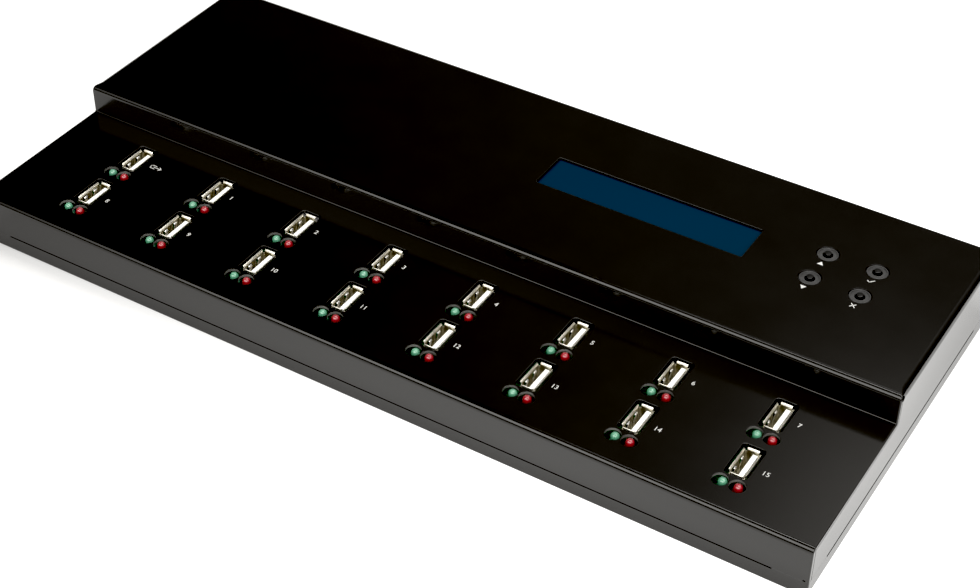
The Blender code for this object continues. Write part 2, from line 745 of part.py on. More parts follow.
# ---------------------------------------------------------------- power switch
power_switch = node(
    "power_switch",
    box_mesh("power_switch", (
        (SWITCH_X - 10.5, BEZEL_BACK, SWITCH_Z - 7.5),
        (SWITCH_X + 10.5, BEZEL_BACK + BEZEL_T, SWITCH_Z + 7.5))),
    BLACK_PLASTIC,
)
boolean(
    power_switch,
    helper("switch_body", box_mesh("switch_body", (
        (SWITCH_X - 9.3, BEZEL_BACK - 13.0, SWITCH_Z - 6.2),
        (SWITCH_X + 9.3, BEZEL_BACK + 0.5, SWITCH_Z + 6.2)))),
    "UNION",
)
boolean(
    power_switch,
    helper("switch_pocket", box_mesh("switch_pocket", (
        (SWITCH_X - 7.75, PIVOT_Y - 4.6, SWITCH_Z - 5.5),
        (SWITCH_X + 7.75, BEZEL_BACK + BEZEL_T + 2, SWITCH_Z + 5.5)))),
    "DIFFERENCE",
)
boolean(
    power_switch,
    helper("switch_blades", box_mesh("switch_blades", *(
        ((SWITCH_X + dx - 0.4, BEZEL_BACK - 19.0, SWITCH_Z - 2.4),
         (SWITCH_X + dx + 0.4, BEZEL_BACK - 12.0, SWITCH_Z + 2.4))
        for dx in (-5.0, 5.0)))),
    "UNION",
)
# the rocker's origin is on its pivot, which runs along Z
node(
    "power_rocker",
    prism("power_rocker", ROCKER_OUTLINE, "XY", -5.2, 5.2),
    BLACK_PLASTIC,
    (SWITCH_X, PIVOT_Y, SWITCH_Z),
    rotation=(0, 0, math.radians(SWITCH_TILT)),
)

# ------------------------------------------------------------------ rear screws
screw_mesh = turned(
    "rear_screw",
    [(0, 1.7), (1.8, 1.6), (2.6, 1.0), (2.8, 0), (1.4, 0), (1.4, -7.0), (0, -7.0)], 12)
for name, side in (("rear_screw_left", -1), ("rear_screw_right", 1)):
    node(
        name, screw_mesh, ZINC, (side * SCREW_X, HALF_D + GAP, SCREW_Z),
        rotation=(math.radians(-90), 0, 0), smooth=True)

# --------------------------------------------------------------------- ribbons
arch = [(-20.3, BOARD_TOP + 2.6 + GAP)]
arch += arc(-16.3, 15.6, 4.0, 180, 90, 4)
arch += arc(-9.3, 15.6, 4.0, 90, 0, 4)
arch.append((-5.3, BOARD_TOP + 2.6 + GAP))
node(
    "port_ribbon",
    prism("port_ribbon", band(arch, 0.9), "YZ", -75.0, -45.0),
    RIBBON_GREY,
)
rise = [(-14.5, BOARD_TOP + 2.6 + GAP), (-14.5, 15.0)]
rise += arc(-11.5, 17.5, 3.0, 180, 100, 4)
rise += arc(-6.0, 23.6, 3.0, 260, 345, 4)[1:]
rise = [(x, z) for x, z in rise if z < LCD_BOARD_TOP - BOARD_T - GAP]
node(
    "display_ribbon",
    prism("display_ribbon", band(rise, 0.9), "XZ", 30.5, 46.5),
    RIBBON_GREY,
)
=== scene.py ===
"""Looks of a desktop USB flash drive duplicator: a folded black steel case in two levels,
sixteen upright USB sockets with a green and a red lamp before each, a blue character
display and four small keys.

Shapes are drawn in the frame of the case, in millimetres: +X right, +Y to the back,
Z up from the ground, X and Y from the middle of the case.
"""

import math

import bmesh
import bpy
from mathutils import Matrix, Quaternion, Vector


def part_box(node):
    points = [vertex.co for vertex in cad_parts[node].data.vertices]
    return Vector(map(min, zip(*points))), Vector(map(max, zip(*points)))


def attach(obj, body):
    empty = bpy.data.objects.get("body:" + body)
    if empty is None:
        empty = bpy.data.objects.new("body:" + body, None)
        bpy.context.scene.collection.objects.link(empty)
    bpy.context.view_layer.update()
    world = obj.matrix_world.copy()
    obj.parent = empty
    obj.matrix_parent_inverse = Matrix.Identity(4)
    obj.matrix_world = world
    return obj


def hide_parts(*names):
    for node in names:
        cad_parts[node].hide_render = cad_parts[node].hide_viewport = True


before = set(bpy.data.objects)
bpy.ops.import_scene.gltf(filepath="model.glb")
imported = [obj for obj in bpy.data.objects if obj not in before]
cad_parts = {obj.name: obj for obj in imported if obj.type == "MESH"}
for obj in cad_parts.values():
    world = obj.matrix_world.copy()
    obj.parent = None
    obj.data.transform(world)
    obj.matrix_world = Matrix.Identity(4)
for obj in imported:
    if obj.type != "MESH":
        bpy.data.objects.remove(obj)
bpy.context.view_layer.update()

MM = 0.001
cover_low, cover_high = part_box("top_cover")
SHIFT = (cover_low.y + cover_high.y) / 2 / MM       # case frame to part frame, along Y
HALF_W = (cover_high.x - cover_low.x) / 2 / MM
HALF_D = (cover_high.y - cover_low.y) / 2 / MM
HIGH_DECK = cover_high.z / MM
COVER_EDGE = cover_low.z / MM
LOW_DECK = 23.8
SHEET = 1.0
RISER_Y = -12.8
BEND_R = 2.2
FOLD_R = 0.55            # sharp folds at the sides of the low deck and the front
SIDE_R = 2.6            # wide fold at the sides of the high deck
INNER_BEND_R = 0.62
FLOOR_H = 2.0           # underside of the case
TRAY_TOP = COVER_EDGE - 0.6

PITCH = 40.0
PORT_X0 = -139.6
PORT_ROWS = (("front", -55.9), ("rear", -29.9))
CUT_W, CUT_L, CUT_R = 8.4, 16.0, 1.5
MOUTH_Z = LOW_DECK - 0.2
LAMP_HOLE_X, LAMP_HOLE_Y, LAMP_HOLE_R = (-3.3, 2.9), -11.9, 2.9
LAMP_X = {"green": -2.3, "red": 3.4}
LAMP_Y = -12.2
LAMP_R = 1.6
LAMP_TOP = LOW_DECK + 1.2
WINDOW = (10.6, 97.3, 27.4, 46.0)
KEYS = {"up": (123.5, 45.6), "ok": (142.9, 45.6), "down": (123.5, 29.6), "back": (142.9, 29.6)}
KEY_HOLE_R = 4.25
SWITCH_X, SWITCH_Z = -100.0, 20.0
JACK_X, JACK_Z = -60.0, 15.4
SCREW_X, SCREW_Z = 150.0, 22.0

scene = bpy.context.scene


# ------------------------------------------------------------------ mesh helpers
def to_row(x, y, z):
    return (x * MM, (y + SHIFT) * MM, z * MM)


class Shape:
    """Points and faces of a mesh, in millimetres."""

    def __init__(self):
        self.points = []
        self.faces = []

    def add(self, points, faces):
        start = len(self.points)
        self.points += [tuple(p) for p in points]
        self.faces += [tuple(start + i for i in f) for f in faces]
        return self

    def loft(self, rings, cap_low=True, cap_high=True, closed=False):
        """A skin through rings of as many points each, closed at both ends or all round."""
        n = len(rings[0])
        points = [p for ring in rings for p in ring]
        faces = []
        count = len(rings)
        for k in range(count if closed else count - 1):
            a, b = k * n, ((k + 1) % count) * n
            for i in range(n):
                j = (i + 1) % n
                faces.append((a + i, a + j, b + j, b + i))
        if not closed:
            if cap_low:
                faces.append(tuple(reversed(range(n))))
            if cap_high:
                faces.append(tuple(range((count - 1) * n, count * n)))
        return self.add(points, faces)

    def box(self, lo, hi):
        (x0, y0, z0), (x1, y1, z1) = lo, hi
        return self.loft([
            [(x0, y0, z), (x1, y0, z), (x1, y1, z), (x0, y1, z)] for z in (z0, z1)])

    def moved(self, dx=0.0, dy=0.0, dz=0.0):
        made = Shape()
        made.points = [(x + dx, y + dy, z + dz) for x, y, z in self.points]
        made.faces = list(self.faces)
        return made

    def mapped(self, function):
        made = Shape()
        made.points = [tuple(function(*p)) for p in self.points]
        made.faces = list(self.faces)
        return made

    def join(self, *others):
        for other in others:
            self.add(other.points, other.faces)
        return self

    def mesh(self, name, row=True):
        made = bpy.data.meshes.new(name)
        place = to_row if row else (lambda x, y, z: (x * MM, y * MM, z * MM))
        made.from_pydata([place(*p) for p in self.points], [], self.faces)
        bm = bmesh.new()
        bm.from_mesh(made)
        bmesh.ops.remove_doubles(bm, verts=bm.verts, dist=1e-8)
        bmesh.ops.recalc_face_normals(bm, faces=bm.faces)
        bm.to_mesh(made)
        bm.free()
        return made


def arc(cx, cy, radius, start, end, steps):
    return [
        (cx + radius * math.cos(math.radians(start + (end - start) * i / steps)),
         cy + radius * math.sin(math.radians(start + (end - start) * i / steps)))
        for i in range(steps + 1)
    ]


def round_rect(half_w, half_l, radius, steps=6):
    """A rounded rectangle about the origin, anticlockwise."""
    w, l, r = half_w, half_l, radius
    return (
        arc(w - r, l - r, r, 0, 90, steps) + arc(-w + r, l - r, r, 90, 180, steps)
        + arc(-w + r, -l + r, r, 180, 270, steps) + arc(w - r, -l + r, r, 270, 360, steps))


def circle(radius, steps=40, turn=0.0):
    return [
        (radius * math.cos(2 * math.pi * (i + turn) / steps),
         radius * math.sin(2 * math.pi * (i + turn) / steps))
        for i in range(steps)
    ]


def turned(profile, steps=48):
    """A closed body of revolution about Z from (radius, height) pairs, whose first and
    last points may lie on the axis."""
    made = Shape()
    rings = []
    for r, z in profile:
        rings.append([(x, y, z) for x, y in circle(max(r, 1e-4), steps)])
    on_axis = profile[0][0] < 1e-3 and profile[-1][0] < 1e-3
    if on_axis:
        made.loft(rings)
    else:
        made.loft(rings, closed=True)
    return made


def outline_at(outline, z, dx=0.0, dy=0.0):
    return [(x + dx, y + dy, z) for x, y in outline]


def evaluated(obj):
    bpy.context.view_layer.update()
    graph = bpy.context.evaluated_depsgraph_get()
    return bpy.data.meshes.new_from_object(obj.evaluated_get(graph))


def combined(base, *steps):
    """The base shape's mesh after exact Booleans with the other shapes."""
    body = bpy.data.objects.new("base", base if isinstance(base, bpy.types.Mesh) else base.mesh("base"))
    scene.collection.objects.link(body)
    tools = []
    for operation, shape in steps:
        mesh = shape if isinstance(shape, bpy.types.Mesh) else shape.mesh("tool")
        tool = bpy.data.objects.new("tool", mesh)
        scene.collection.objects.link(tool)
        step = body.modifiers.new("step", "BOOLEAN")
        step.operation = operation
        step.solver = "EXACT"
        step.object = tool
        tools.append(tool)
    made = evaluated(body)
    for o in [body, *tools]:
        mesh = o.data
        bpy.data.objects.remove(o, do_unlink=True)
        bpy.data.meshes.remove(mesh)
    return made


def soften(mesh, width, angle=40.0, segments=2):
    """The mesh with its edges rounded by a bevel this wide, in millimetres."""
    holder = bpy.data.objects.new("soften", mesh)
    scene.collection.objects.link(holder)
    step = holder.modifiers.new("round", "BEVEL")
    step.width = width * MM
    step.segments = segments
    step.limit_method = "ANGLE"
    step.angle_limit = math.radians(angle)
    step.use_clamp_overlap = True
    step.harden_normals = False
    made = evaluated(holder)
    bpy.data.objects.remove(holder, do_unlink=True)
    return made


def shaded(mesh, angle=38.0):
    """Smooth shading up to this angle. Walls square to an axis stay flat up to their
    edges, and the folds beside them start from their direction."""
    bm = bmesh.new()
    bm.from_mesh(mesh)
    bmesh.ops.remove_doubles(bm, verts=bm.verts, dist=2e-7)
    bmesh.ops.dissolve_degenerate(bm, edges=bm.edges, dist=1e-7)
    bm.normal_update()
    bm.to_mesh(mesh)
    bm.faces.ensure_lookup_table()
    limit = math.cos(math.radians(angle))
    square = [max(abs(c) for c in f.normal) > 0.999995 for f in bm.faces]
    normals = [None] * sum(len(f.verts) for f in bm.faces)
    for vert in bm.verts:
        around = [(loop, loop.face.index, loop.face.normal, loop.calc_angle()) for loop in vert.link_loops]
        for loop, index, own, _ in around:
            if square[index]:
                normals[loop.index] = own.copy()
                continue
            best, found = limit, None
            total = Vector((0, 0, 0))
            for _, other, direction, wide in around:
                likeness = own.dot(direction)
                if likeness < limit:
                    continue
                if square[other] and likeness > best:
                    best, found = likeness, direction
                total += direction * wide
            chosen = found if found is not None else total
            normals[loop.index] = chosen.normalized() if chosen.length > 1e-9 else own.copy()
    bm.free()
    mesh.shade_smooth()
    mesh.normals_split_custom_set(normals)
    return mesh


def piece(name, mesh, finish, body="case", replaces=(), at=None):
    """Puts a mesh in the scene as a piece of the object."""
    made = bpy.data.objects.new(name, mesh)
    scene.collection.objects.link(made)
    if not mesh.materials:
        mesh.materials.append(finish)
    if at is not None:
        made.location = Vector(to_row(*at))
    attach(made, body)
    if replaces:
        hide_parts(*replaces)
    return made


# --------------------------------------------------------------------- materials
class Nodes:
    """A small helper to write node trees."""

    def __init__(self, tree):
        self.tree = tree
        tree.nodes.clear()

    def new(self, kind, inputs=None, **settings):
        made = self.tree.nodes.new(kind)
        for key, value in settings.items():
            setattr(made, key, value)
        for key, value in (inputs or {}).items():
            if isinstance(value, bpy.types.NodeSocket):
                self.tree.links.new(value, made.inputs[key])
            else:
                made.inputs[key].default_value = value
        return made

    def math(self, operation, a, b=None, c=None, clamp=False):
        made = self.tree.nodes.new("ShaderNodeMath")
        made.operation = operation
        made.use_clamp = clamp
        for i, value in enumerate((a, b, c)):
            if value is None:
                continue
            if isinstance(value, bpy.types.NodeSocket):
                self.tree.links.new(value, made.inputs[i])
            else:
                made.inputs[i].default_value = value
        return made.outputs[0]

    def noise(self, vector, scale, detail=2.0, roughness=0.5, distortion=0.0):
        return self.new(
            "ShaderNodeTexNoise",
            {"Vector": vector, "Scale": scale, "Detail": detail,
             "Roughness": roughness, "Distortion": distortion}).outputs["Fac"]

    def remap(self, value, low, high, to_low, to_high, smooth=False):
        return self.new(
            "ShaderNodeMapRange",
            {"Value": value, "From Min": low, "From Max": high,
             "To Min": to_low, "To Max": to_high},
            interpolation_type="SMOOTHSTEP" if smooth else "LINEAR", clamp=True,
        ).outputs["Result"]

    def ramp(self, value, stops):
        made = self.new("ShaderNodeValToRGB", {"Fac": value})
        ramp = made.color_ramp
        while len(ramp.elements) < len(stops):
            ramp.elements.new(1.0)
        for element, (place, colour) in zip(ramp.elements, stops):
            element.position = place
            element.color = (*colour, 1.0)
        return made.outputs["Color"]


def new_material(name):
    made = bpy.data.materials.new(name)
    made.use_nodes = True
    nodes = Nodes(made.node_tree)
    out = nodes.new("ShaderNodeOutputMaterial")
    shader = nodes.new("ShaderNodeBsdfPrincipled")
    made.node_tree.links.new(shader.outputs["BSDF"], out.inputs["Surface"])
    where = nodes.new("ShaderNodeTexCoord").outputs["Object"]
    return made, nodes, shader, where


def connect(nodes, value, shader, key):
    nodes.tree.links.new(value, shader.inputs[key])


def coat_material(name, base, rough, grain, wear=0.0):
    """Semi-gloss powder coat: a fine orange-peel surface with slightly uneven gloss."""
    made, nodes, shader, where = new_material(name)
    peel = nodes.noise(where, 2400.0, 2.0, 0.55)
    fine = nodes.noise(where, 5200.0, 1.0, 0.5)
    cloud = nodes.noise(where, 45.0, 3.0, 0.6)
    height = nodes.math("ADD", peel, nodes.math("MULTIPLY", fine, 0.45))
    bump = nodes.new(
        "ShaderNodeBump", {"Height": height, "Strength": grain, "Distance": 0.00002})
    connect(nodes, bump.outputs["Normal"], shader, "Normal")
    speck = nodes.remap(fine, 0.55, 0.8, 0.0, 0.06)
    rough_value = nodes.math("ADD", nodes.remap(cloud, 0.3, 0.7, rough - 0.01, rough + 0.01), speck)
    connect(nodes, rough_value, shader, "Roughness")
    tint = nodes.ramp(cloud, [
        (0.3, tuple(c * 0.92 for c in base)), (0.7, tuple(c * 1.08 for c in base))])
    connect(nodes, tint, shader, "Base Color")
    shader.inputs["IOR"].default_value = 1.44
    return made


def plastic_material(name, base, rough, texture=0.15, scale=2500.0, ior=1.48, vary=0.12):
    """Moulded plastic with a fine mould texture."""
    made, nodes, shader, where = new_material(name)
    grain = nodes.noise(where, scale, 2.0, 0.6)
    cloud = nodes.noise(where, 120.0, 2.0, 0.5)
    bump = nodes.new(
        "ShaderNodeBump", {"Height": grain, "Strength": texture, "Distance": 0.00005})
    connect(nodes, bump.outputs["Normal"], shader, "Normal")
    connect(nodes, nodes.remap(cloud, 0.3, 0.7, rough - 0.05, rough + 0.05), shader, "Roughness")
    tint = nodes.ramp(cloud, [
        (0.3, tuple(c * (1 - vary) for c in base)), (0.7, tuple(min(1.0, c * (1 + vary)) for c in base))])
    connect(nodes, tint, shader, "Base Color")
    shader.inputs["IOR"].default_value = ior
    return made


def metal_material(name, base, rough, brush=(1.0, 1.0, 14.0), scale=400.0, bump_strength=0.1):
    """Plated or brushed sheet with streaks along Z."""
    made, nodes, shader, where = new_material(name)
    stretched = nodes.new(
        "ShaderNodeMapping", {"Vector": where, "Scale": brush}).outputs["Vector"]
    streak = nodes.noise(stretched, scale, 3.0, 0.6)
    cloud = nodes.noise(where, 350.0, 3.0, 0.6)
    connect(nodes, nodes.remap(streak, 0.3, 0.7, rough - 0.08, rough + 0.1), shader, "Roughness")
    tint = nodes.ramp(cloud, [
        (0.3, tuple(c * 0.82 for c in base)), (0.68, tuple(min(1.0, c * 1.08) for c in base))])
    connect(nodes, tint, shader, "Base Color")
    bump = nodes.new(
        "ShaderNodeBump", {"Height": streak, "Strength": bump_strength, "Distance": 0.00002})
    connect(nodes, bump.outputs["Normal"], shader, "Normal")
    shader.inputs["Metallic"].default_value = 1.0
    return made


def inside_material():
    """The inside of a socket's shell: the same plate painted darker and browner as painted shade of the cavity, with
    long streaks of painted reflection.
    """
    made, nodes, shader, where = new_material("socket_inside_painted_shade")
    tilted = nodes.new("ShaderNodeMapping", {
        "Vector": where, "Rotation": (math.radians(24.0), 0.0, 0.0), "Scale": (1.0, 5.0, 0.7)}).outputs["Vector"]
    streak = nodes.noise(tilted, 260.0, 3.0, 0.6)
    tint = nodes.ramp(streak, [
        (0.36, (0.21, 0.185, 0.105)), (0.50, (0.44, 0.405, 0.28)), (0.64, (0.86, 0.82, 0.70))])
    connect(nodes, tint, shader, "Base Color")
    connect(nodes, nodes.remap(streak, 0.3, 0.7, 0.34, 0.5), shader, "Roughness")
    bump = nodes.new(
        "ShaderNodeBump", {"Height": streak, "Strength": 0.15, "Distance": 0.00002})
    connect(nodes, bump.outputs["Normal"], shader, "Normal")
    shader.inputs["Metallic"].default_value = 1.0
    return made


def lens_material(name, base, deep, painted_glow):
    """Tinted diffused lens of an unlit lamp, with painted shade towards the dome's foot, a painted highlight ring and
    a faint painted glow.
    """
    made, nodes, shader, where = new_material(name)
    cloud = nodes.noise(where, 900.0, 2.0, 0.5)
    height = nodes.new("ShaderNodeSeparateXYZ", {"Vector": where}).outputs["Z"]
    # painted shade: the dome darker towards its foot and lighter at its top
    painted_shading = nodes.remap(height, -0.0018, -0.0001, 0.22, 0.82)
    flat = nodes.new("ShaderNodeMapping", {"Vector": where, "Scale": (1.0, 1.0, 0.0)}).outputs["Vector"]
    out = nodes.new("ShaderNodeVectorMath", {0: flat}, operation="LENGTH").outputs["Value"]
    # painted highlight: a pale ring 0.62 mm from the axis, the lens's C-shaped highlight
    painted_highlight_ring = nodes.math("SUBTRACT", 1.0, nodes.math("ABSOLUTE", nodes.math(
        "DIVIDE", nodes.math("SUBTRACT", out, 0.00062), 0.00034)), clamp=True)
    painted_shading = nodes.math("ADD", painted_shading, nodes.math("MULTIPLY", painted_highlight_ring, 0.22))
    mix = nodes.math("MULTIPLY", painted_shading, nodes.remap(cloud, 0.3, 0.7, 0.88, 1.0))
    # pale is the colour of the painted highlight at the top of the ramp; deep is the painted shade at the foot
    pale = tuple(c * 0.85 + 0.075 for c in base)
    connect(nodes, nodes.ramp(mix, [(0.0, deep), (0.78, base), (1.0, pale)]), shader, "Base Color")
    connect(nodes, nodes.remap(cloud, 0.3, 0.7, 0.06, 0.14), shader, "Roughness")
    shader.inputs["IOR"].default_value = 1.54
    shader.inputs["Coat Weight"].default_value = 0.5
    shader.inputs["Coat Roughness"].default_value = 0.03
    # painted glow: the unlit lens gives off a little light in its own colour
    shader.inputs["Emission Color"].default_value = (*base, 1.0)
    shader.inputs["Emission Strength"].default_value = painted_glow
    return made


def board_material(name):
    """Green solder mask with fine traces under it."""
    made, nodes, shader, where = new_material(name)
    split = nodes.new("ShaderNodeSeparateXYZ", {"Vector": where})
    brick = nodes.new(
        "ShaderNodeTexBrick",
        {"Vector": where, "Color1": (0.02, 0.17, 0.06, 1), "Color2": (0.015, 0.13, 0.045, 1),
         "Mortar": (0.05, 0.27, 0.10, 1), "Scale": 260.0, "Mortar Size": 0.09,
         "Brick Width": 1.7, "Row Height": 0.35})
    connect(nodes, brick.outputs["Color"], shader, "Base Color")
    bump = nodes.new(
        "ShaderNodeBump", {"Height": brick.outputs["Fac"], "Strength": 0.3, "Distance": 0.00005})
    connect(nodes, bump.outputs["Normal"], shader, "Normal")
    cloud = nodes.noise(split.outputs["X"], 60.0)
    connect(nodes, nodes.remap(cloud, 0.3, 0.7, 0.3, 0.42), shader, "Roughness")
    return made


BLACK_COAT = coat_material("black_coat", (0.0048, 0.0045, 0.0038), 0.14, 0.22)
TRAY_COAT = coat_material("tray_coat", (0.0048, 0.0045, 0.0038), 0.17, 0.28)
# painted light: a lighter grey for the lamp holes' walls, standing in for their lit far walls
HOLE_WALL_PAINTED_LIGHT = plastic_material("hole_wall_painted_light", (0.115, 0.115, 0.108), 0.45, 0.4, 3200.0, vary=0.25)
RUBBER = plastic_material("rubber_black", (0.012, 0.012, 0.012), 0.8, 0.5, 1800.0)
NICKEL = metal_material("socket_shell", (0.82, 0.79, 0.70), 0.42)
# painted shade and painted reflection streaks for the inside of the sockets' shells
SHELL_INSIDE_PAINTED_SHADE = inside_material()
SPRING_PLATE = metal_material("spring_plate", (0.97, 0.95, 0.90), 0.34)
WHITE_MOULDING = plastic_material("socket_moulding", (0.86, 0.86, 0.82), 0.38, 0.1)
CONTACT_GOLD = metal_material("contact_gold", (0.75, 0.56, 0.22), 0.25)
LAMP_BLACK = plastic_material("lamp_holder", (0.006, 0.006, 0.006), 0.5)
# the lenses' last figure is the strength of their painted glow
GREEN_LENS = lens_material("lamp_green", (0.105, 0.29, 0.185), (0.022, 0.10, 0.056), 0.05)
RED_LENS = lens_material("lamp_red", (0.27, 0.016, 0.024), (0.115, 0.003, 0.006), 0.05)
BOARD_GREEN = board_material("circuit_board")
DIFFUSER = plastic_material("white_diffuser", (0.8, 0.8, 0.78), 0.4)
TIN = metal_material("tinned_steel", (0.45, 0.45, 0.46), 0.3)
RING_GREY = plastic_material("key_ring_grey", (0.046, 0.046, 0.046), 0.55, 0.9, 2600.0, vary=0.35)
KEY_BLACK = plastic_material("key_black", (0.003, 0.003, 0.003), 0.3, 0.15)
BLACK_PLASTIC = plastic_material("black_plastic", (0.012, 0.012, 0.012), 0.42, 0.35)
SCREW_BLACK = metal_material("black_screw", (0.06, 0.06, 0.06), 0.35)
RIBBON = plastic_material("ribbon_grey", (0.35, 0.35, 0.36), 0.6)
PRINT = plastic_material("print_white", (0.62, 0.62, 0.60), 0.6, 0.4, 4200.0, vary=0.2)


def display_material():
    """Dark blue character display, unlit: a faint uneven blue under smooth glass."""
    made, nodes, shader, where = new_material("display_glass")
    cloud = nodes.noise(where, 30.0, 2.0, 0.5)
    split = nodes.new("ShaderNodeSeparateXYZ", {"Vector": where})
    low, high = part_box("lcd_glass")
    across = nodes.remap(split.outputs["X"], low.x, high.x, 0.0, 1.0)
    deep = nodes.remap(split.outputs["Y"], low.y, high.y, 0.0, 0.35)
    place = nodes.math("SUBTRACT", across, deep)
    mixed = nodes.math("ADD", place, nodes.remap(cloud, 0.2, 0.8, -0.06, 0.06))
    tint = nodes.ramp(mixed, [
        (0.0, (0.0, 0.0205, 0.0435)), (0.5, (0.0, 0.0215, 0.0455)), (1.0, (0.0, 0.0215, 0.0435))])
    connect(nodes, tint, shader, "Base Color")
    connect(nodes, nodes.remap(cloud, 0.3, 0.7, 0.10, 0.16), shader, "Roughness")
    shader.inputs["IOR"].default_value = 1.3
    return made


DISPLAY = display_material()

for kept, finish in (
    ("port_board", BOARD_GREEN), ("main_board", BOARD_GREEN), ("lcd_board", BOARD_GREEN),
    ("key_board", BOARD_GREEN), ("lcd_backlight", DIFFUSER), ("lcd_frame", TIN),
    ("port_ribbon", RIBBON), ("display_ribbon", RIBBON),
):
    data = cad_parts[kept].data
    data.materials.clear()
    data.materials.append(finish)


# --------------------------------------------------------------------- top cover
def cover_profile():
    """(y, z, outward y, outward z, side radius) along the cover seen from its side, from
    the front's lower edge over both decks to the back's lower edge."""
    line = []

    def flat(y, z, ny, nz, r):
        line.append((y, z, ny, nz, r))

    def bend(cy, cz, radius, start, end, steps, r0, r1, inner=False):
        for i in range(steps + 1):
            t = i / steps
            a = math.radians(start + (end - start) * t)
            c, s = math.cos(a), math.sin(a)
            sign = -1 if inner else 1
            line.append((cy + radius * c, cz + radius * s, sign * c, sign * s, r0 + (r1 - r0) * t))

    flat(-HALF_D, COVER_EDGE, -1, 0, FOLD_R)
    bend(-HALF_D + BEND_R, LOW_DECK - BEND_R, BEND_R, 180, 90, 12, FOLD_R, FOLD_R)
    bend(RISER_Y - INNER_BEND_R, LOW_DECK + INNER_BEND_R, INNER_BEND_R, -90, 0, 6, FOLD_R, FOLD_R, True)
    bend(RISER_Y + BEND_R, HIGH_DECK - BEND_R, BEND_R, 180, 90, 12, FOLD_R, 1.5)
    flat(RISER_Y + BEND_R + 3.0, HIGH_DECK, 0, 1, SIDE_R)
    flat(HALF_D - BEND_R - 3.0, HIGH_DECK, 0, 1, SIDE_R)
    bend(HALF_D - BEND_R, HIGH_DECK - BEND_R, BEND_R, 90, 0, 12, 1.5, 1.2)
    flat(HALF_D, COVER_EDGE, 1, 0, 1.2)
    return line


def cover_skin():
    profile = cover_profile()
    steps = 7
    stations = []
    for side in (-1, 1):
        turns = [math.radians(90 * j / steps) for j in range(steps + 1)]
        if side < 0:
            turns.reverse()
        stations += [(side, t) for t in turns]
    rings = []
    for y, z, ny, nz, r in profile:
        ring = []
        for side, t in stations:
            x = side * (HALF_W - r + r * math.sin(t))
            inward = r * (1 - math.cos(t))
            ring.append((x, y - ny * inward, z - nz * inward if abs(nz) > 1e-9 else z))
        rings.append(ring)
    n = len(stations)
    points = [p for ring in rings for p in ring]
    faces = []
    for k in range(len(rings) - 1):
        for i in range(n - 1):
            a, b = k * n + i, (k + 1) * n + i
            faces.append((a, a + 1, b + 1, b))
    count = len(rings)
    faces.append(tuple(k * n for k in range(count)))                     # left side
    faces.append(tuple(k * n + n - 1 for k in reversed(range(count))))   # right side
    first = [i for i in range(n)]
    last = [(count - 1) * n + i for i in reversed(range(n))]
    faces.append(tuple(first + last))                                    # underside
    made = Shape()
    return made.add(points, faces)


def side_inset(inset, low, front=True):
    """The cover's side profile inset by this much, as (y, z)."""
    line = []
    r = BEND_R - inset
    fillet = INNER_BEND_R + inset
    line.append((-HALF_D + inset, low))
    line += arc(-HALF_D + BEND_R, LOW_DECK - BEND_R, r, 180, 90, 8)
    line += arc(RISER_Y - INNER_BEND_R, LOW_DECK + INNER_BEND_R, fillet, -90, 0, 4)
    line += arc(RISER_Y + BEND_R, HIGH_DECK - BEND_R, r, 180, 90, 8)
    line += arc(HALF_D - BEND_R, HIGH_DECK - BEND_R, r, 90, 0, 8)
    line.append((HALF_D - inset, low))
    return line


def cutter(outline_of, top, depth, lip, above=2.0, steps=4):
    """A punch through a deck whose upper edge is rounded by lip. outline_of(o) is the
    hole's outline grown by o."""
    rings = [outline_at(outline_of(0.0), top - depth), outline_at(outline_of(0.0), top - lip)]
    for i in range(1, steps + 1):
        t = math.radians(90 * i / steps)
        grown = lip * (1 - math.cos(t))
        z = top - lip + lip * math.sin(t)
        if i == steps:
            grown += 0.004
            z += 0.004
        rings.append(outline_at(outline_of(grown), z))
    rings.append(outline_at(outline_of(lip + 0.004), top + above))
    return Shape().loft(rings)


hollow = Shape()
hollow_line = side_inset(SHEET, COVER_EDGE - 4)
hollow.loft([[(x, y, z) for y, z in hollow_line] for x in (-HALF_W + SHEET, HALF_W - SHEET)])

low_holes = Shape()
for row, port_y in PORT_ROWS:
    for column in range(8):
        port_x = PORT_X0 + PITCH * column
        low_holes.join(cutter(
            lambda o: round_rect(CUT_W / 2 + o, CUT_L / 2 + o, CUT_R + o), LOW_DECK, 3.0, 0.28
        ).moved(port_x, port_y))
        for hole_x in LAMP_HOLE_X:
            low_holes.join(cutter(
                lambda o: circle(LAMP_HOLE_R + o, 36), LOW_DECK, 3.0, 0.14
            ).moved(port_x + hole_x, port_y + LAMP_HOLE_Y))

high_holes = Shape()
window_cx, window_cy = (WINDOW[0] + WINDOW[1]) / 2, (WINDOW[2] + WINDOW[3]) / 2
high_holes.join(cutter(
    lambda o: round_rect((WINDOW[1] - WINDOW[0]) / 2 + o, (WINDOW[3] - WINDOW[2]) / 2 + o, 0.6 + o),
    HIGH_DECK, 3.0, 0.28).moved(window_cx, window_cy))
for key_x, key_y in KEYS.values():
    high_holes.join(cutter(
        lambda o: circle(KEY_HOLE_R + o, 44), HIGH_DECK, 3.0, 0.12).moved(key_x, key_y))


def to_back(shape, x, z):
    """Turns a punch drawn about Z through a deck at height 0 into one through the back."""
    return shape.mapped(lambda a, b, c: (x + a, HALF_D + c, z - b))


rear_holes = Shape()
rear_holes.join(to_back(cutter(
    lambda o: round_rect(9.7 + o, 6.6 + o, 0.8 + o), 0.0, 1.6, 0.15), SWITCH_X, SWITCH_Z))
rear_holes.join(to_back(cutter(
    lambda o: circle(4.2 + o, 40), 0.0, 1.6, 0.15), JACK_X, JACK_Z))
for side in (-1, 1):
    rear_holes.join(to_back(cutter(
        lambda o: circle(1.75 + o, 24), 0.0, 1.6, 0.1), side * SCREW_X, SCREW_Z))


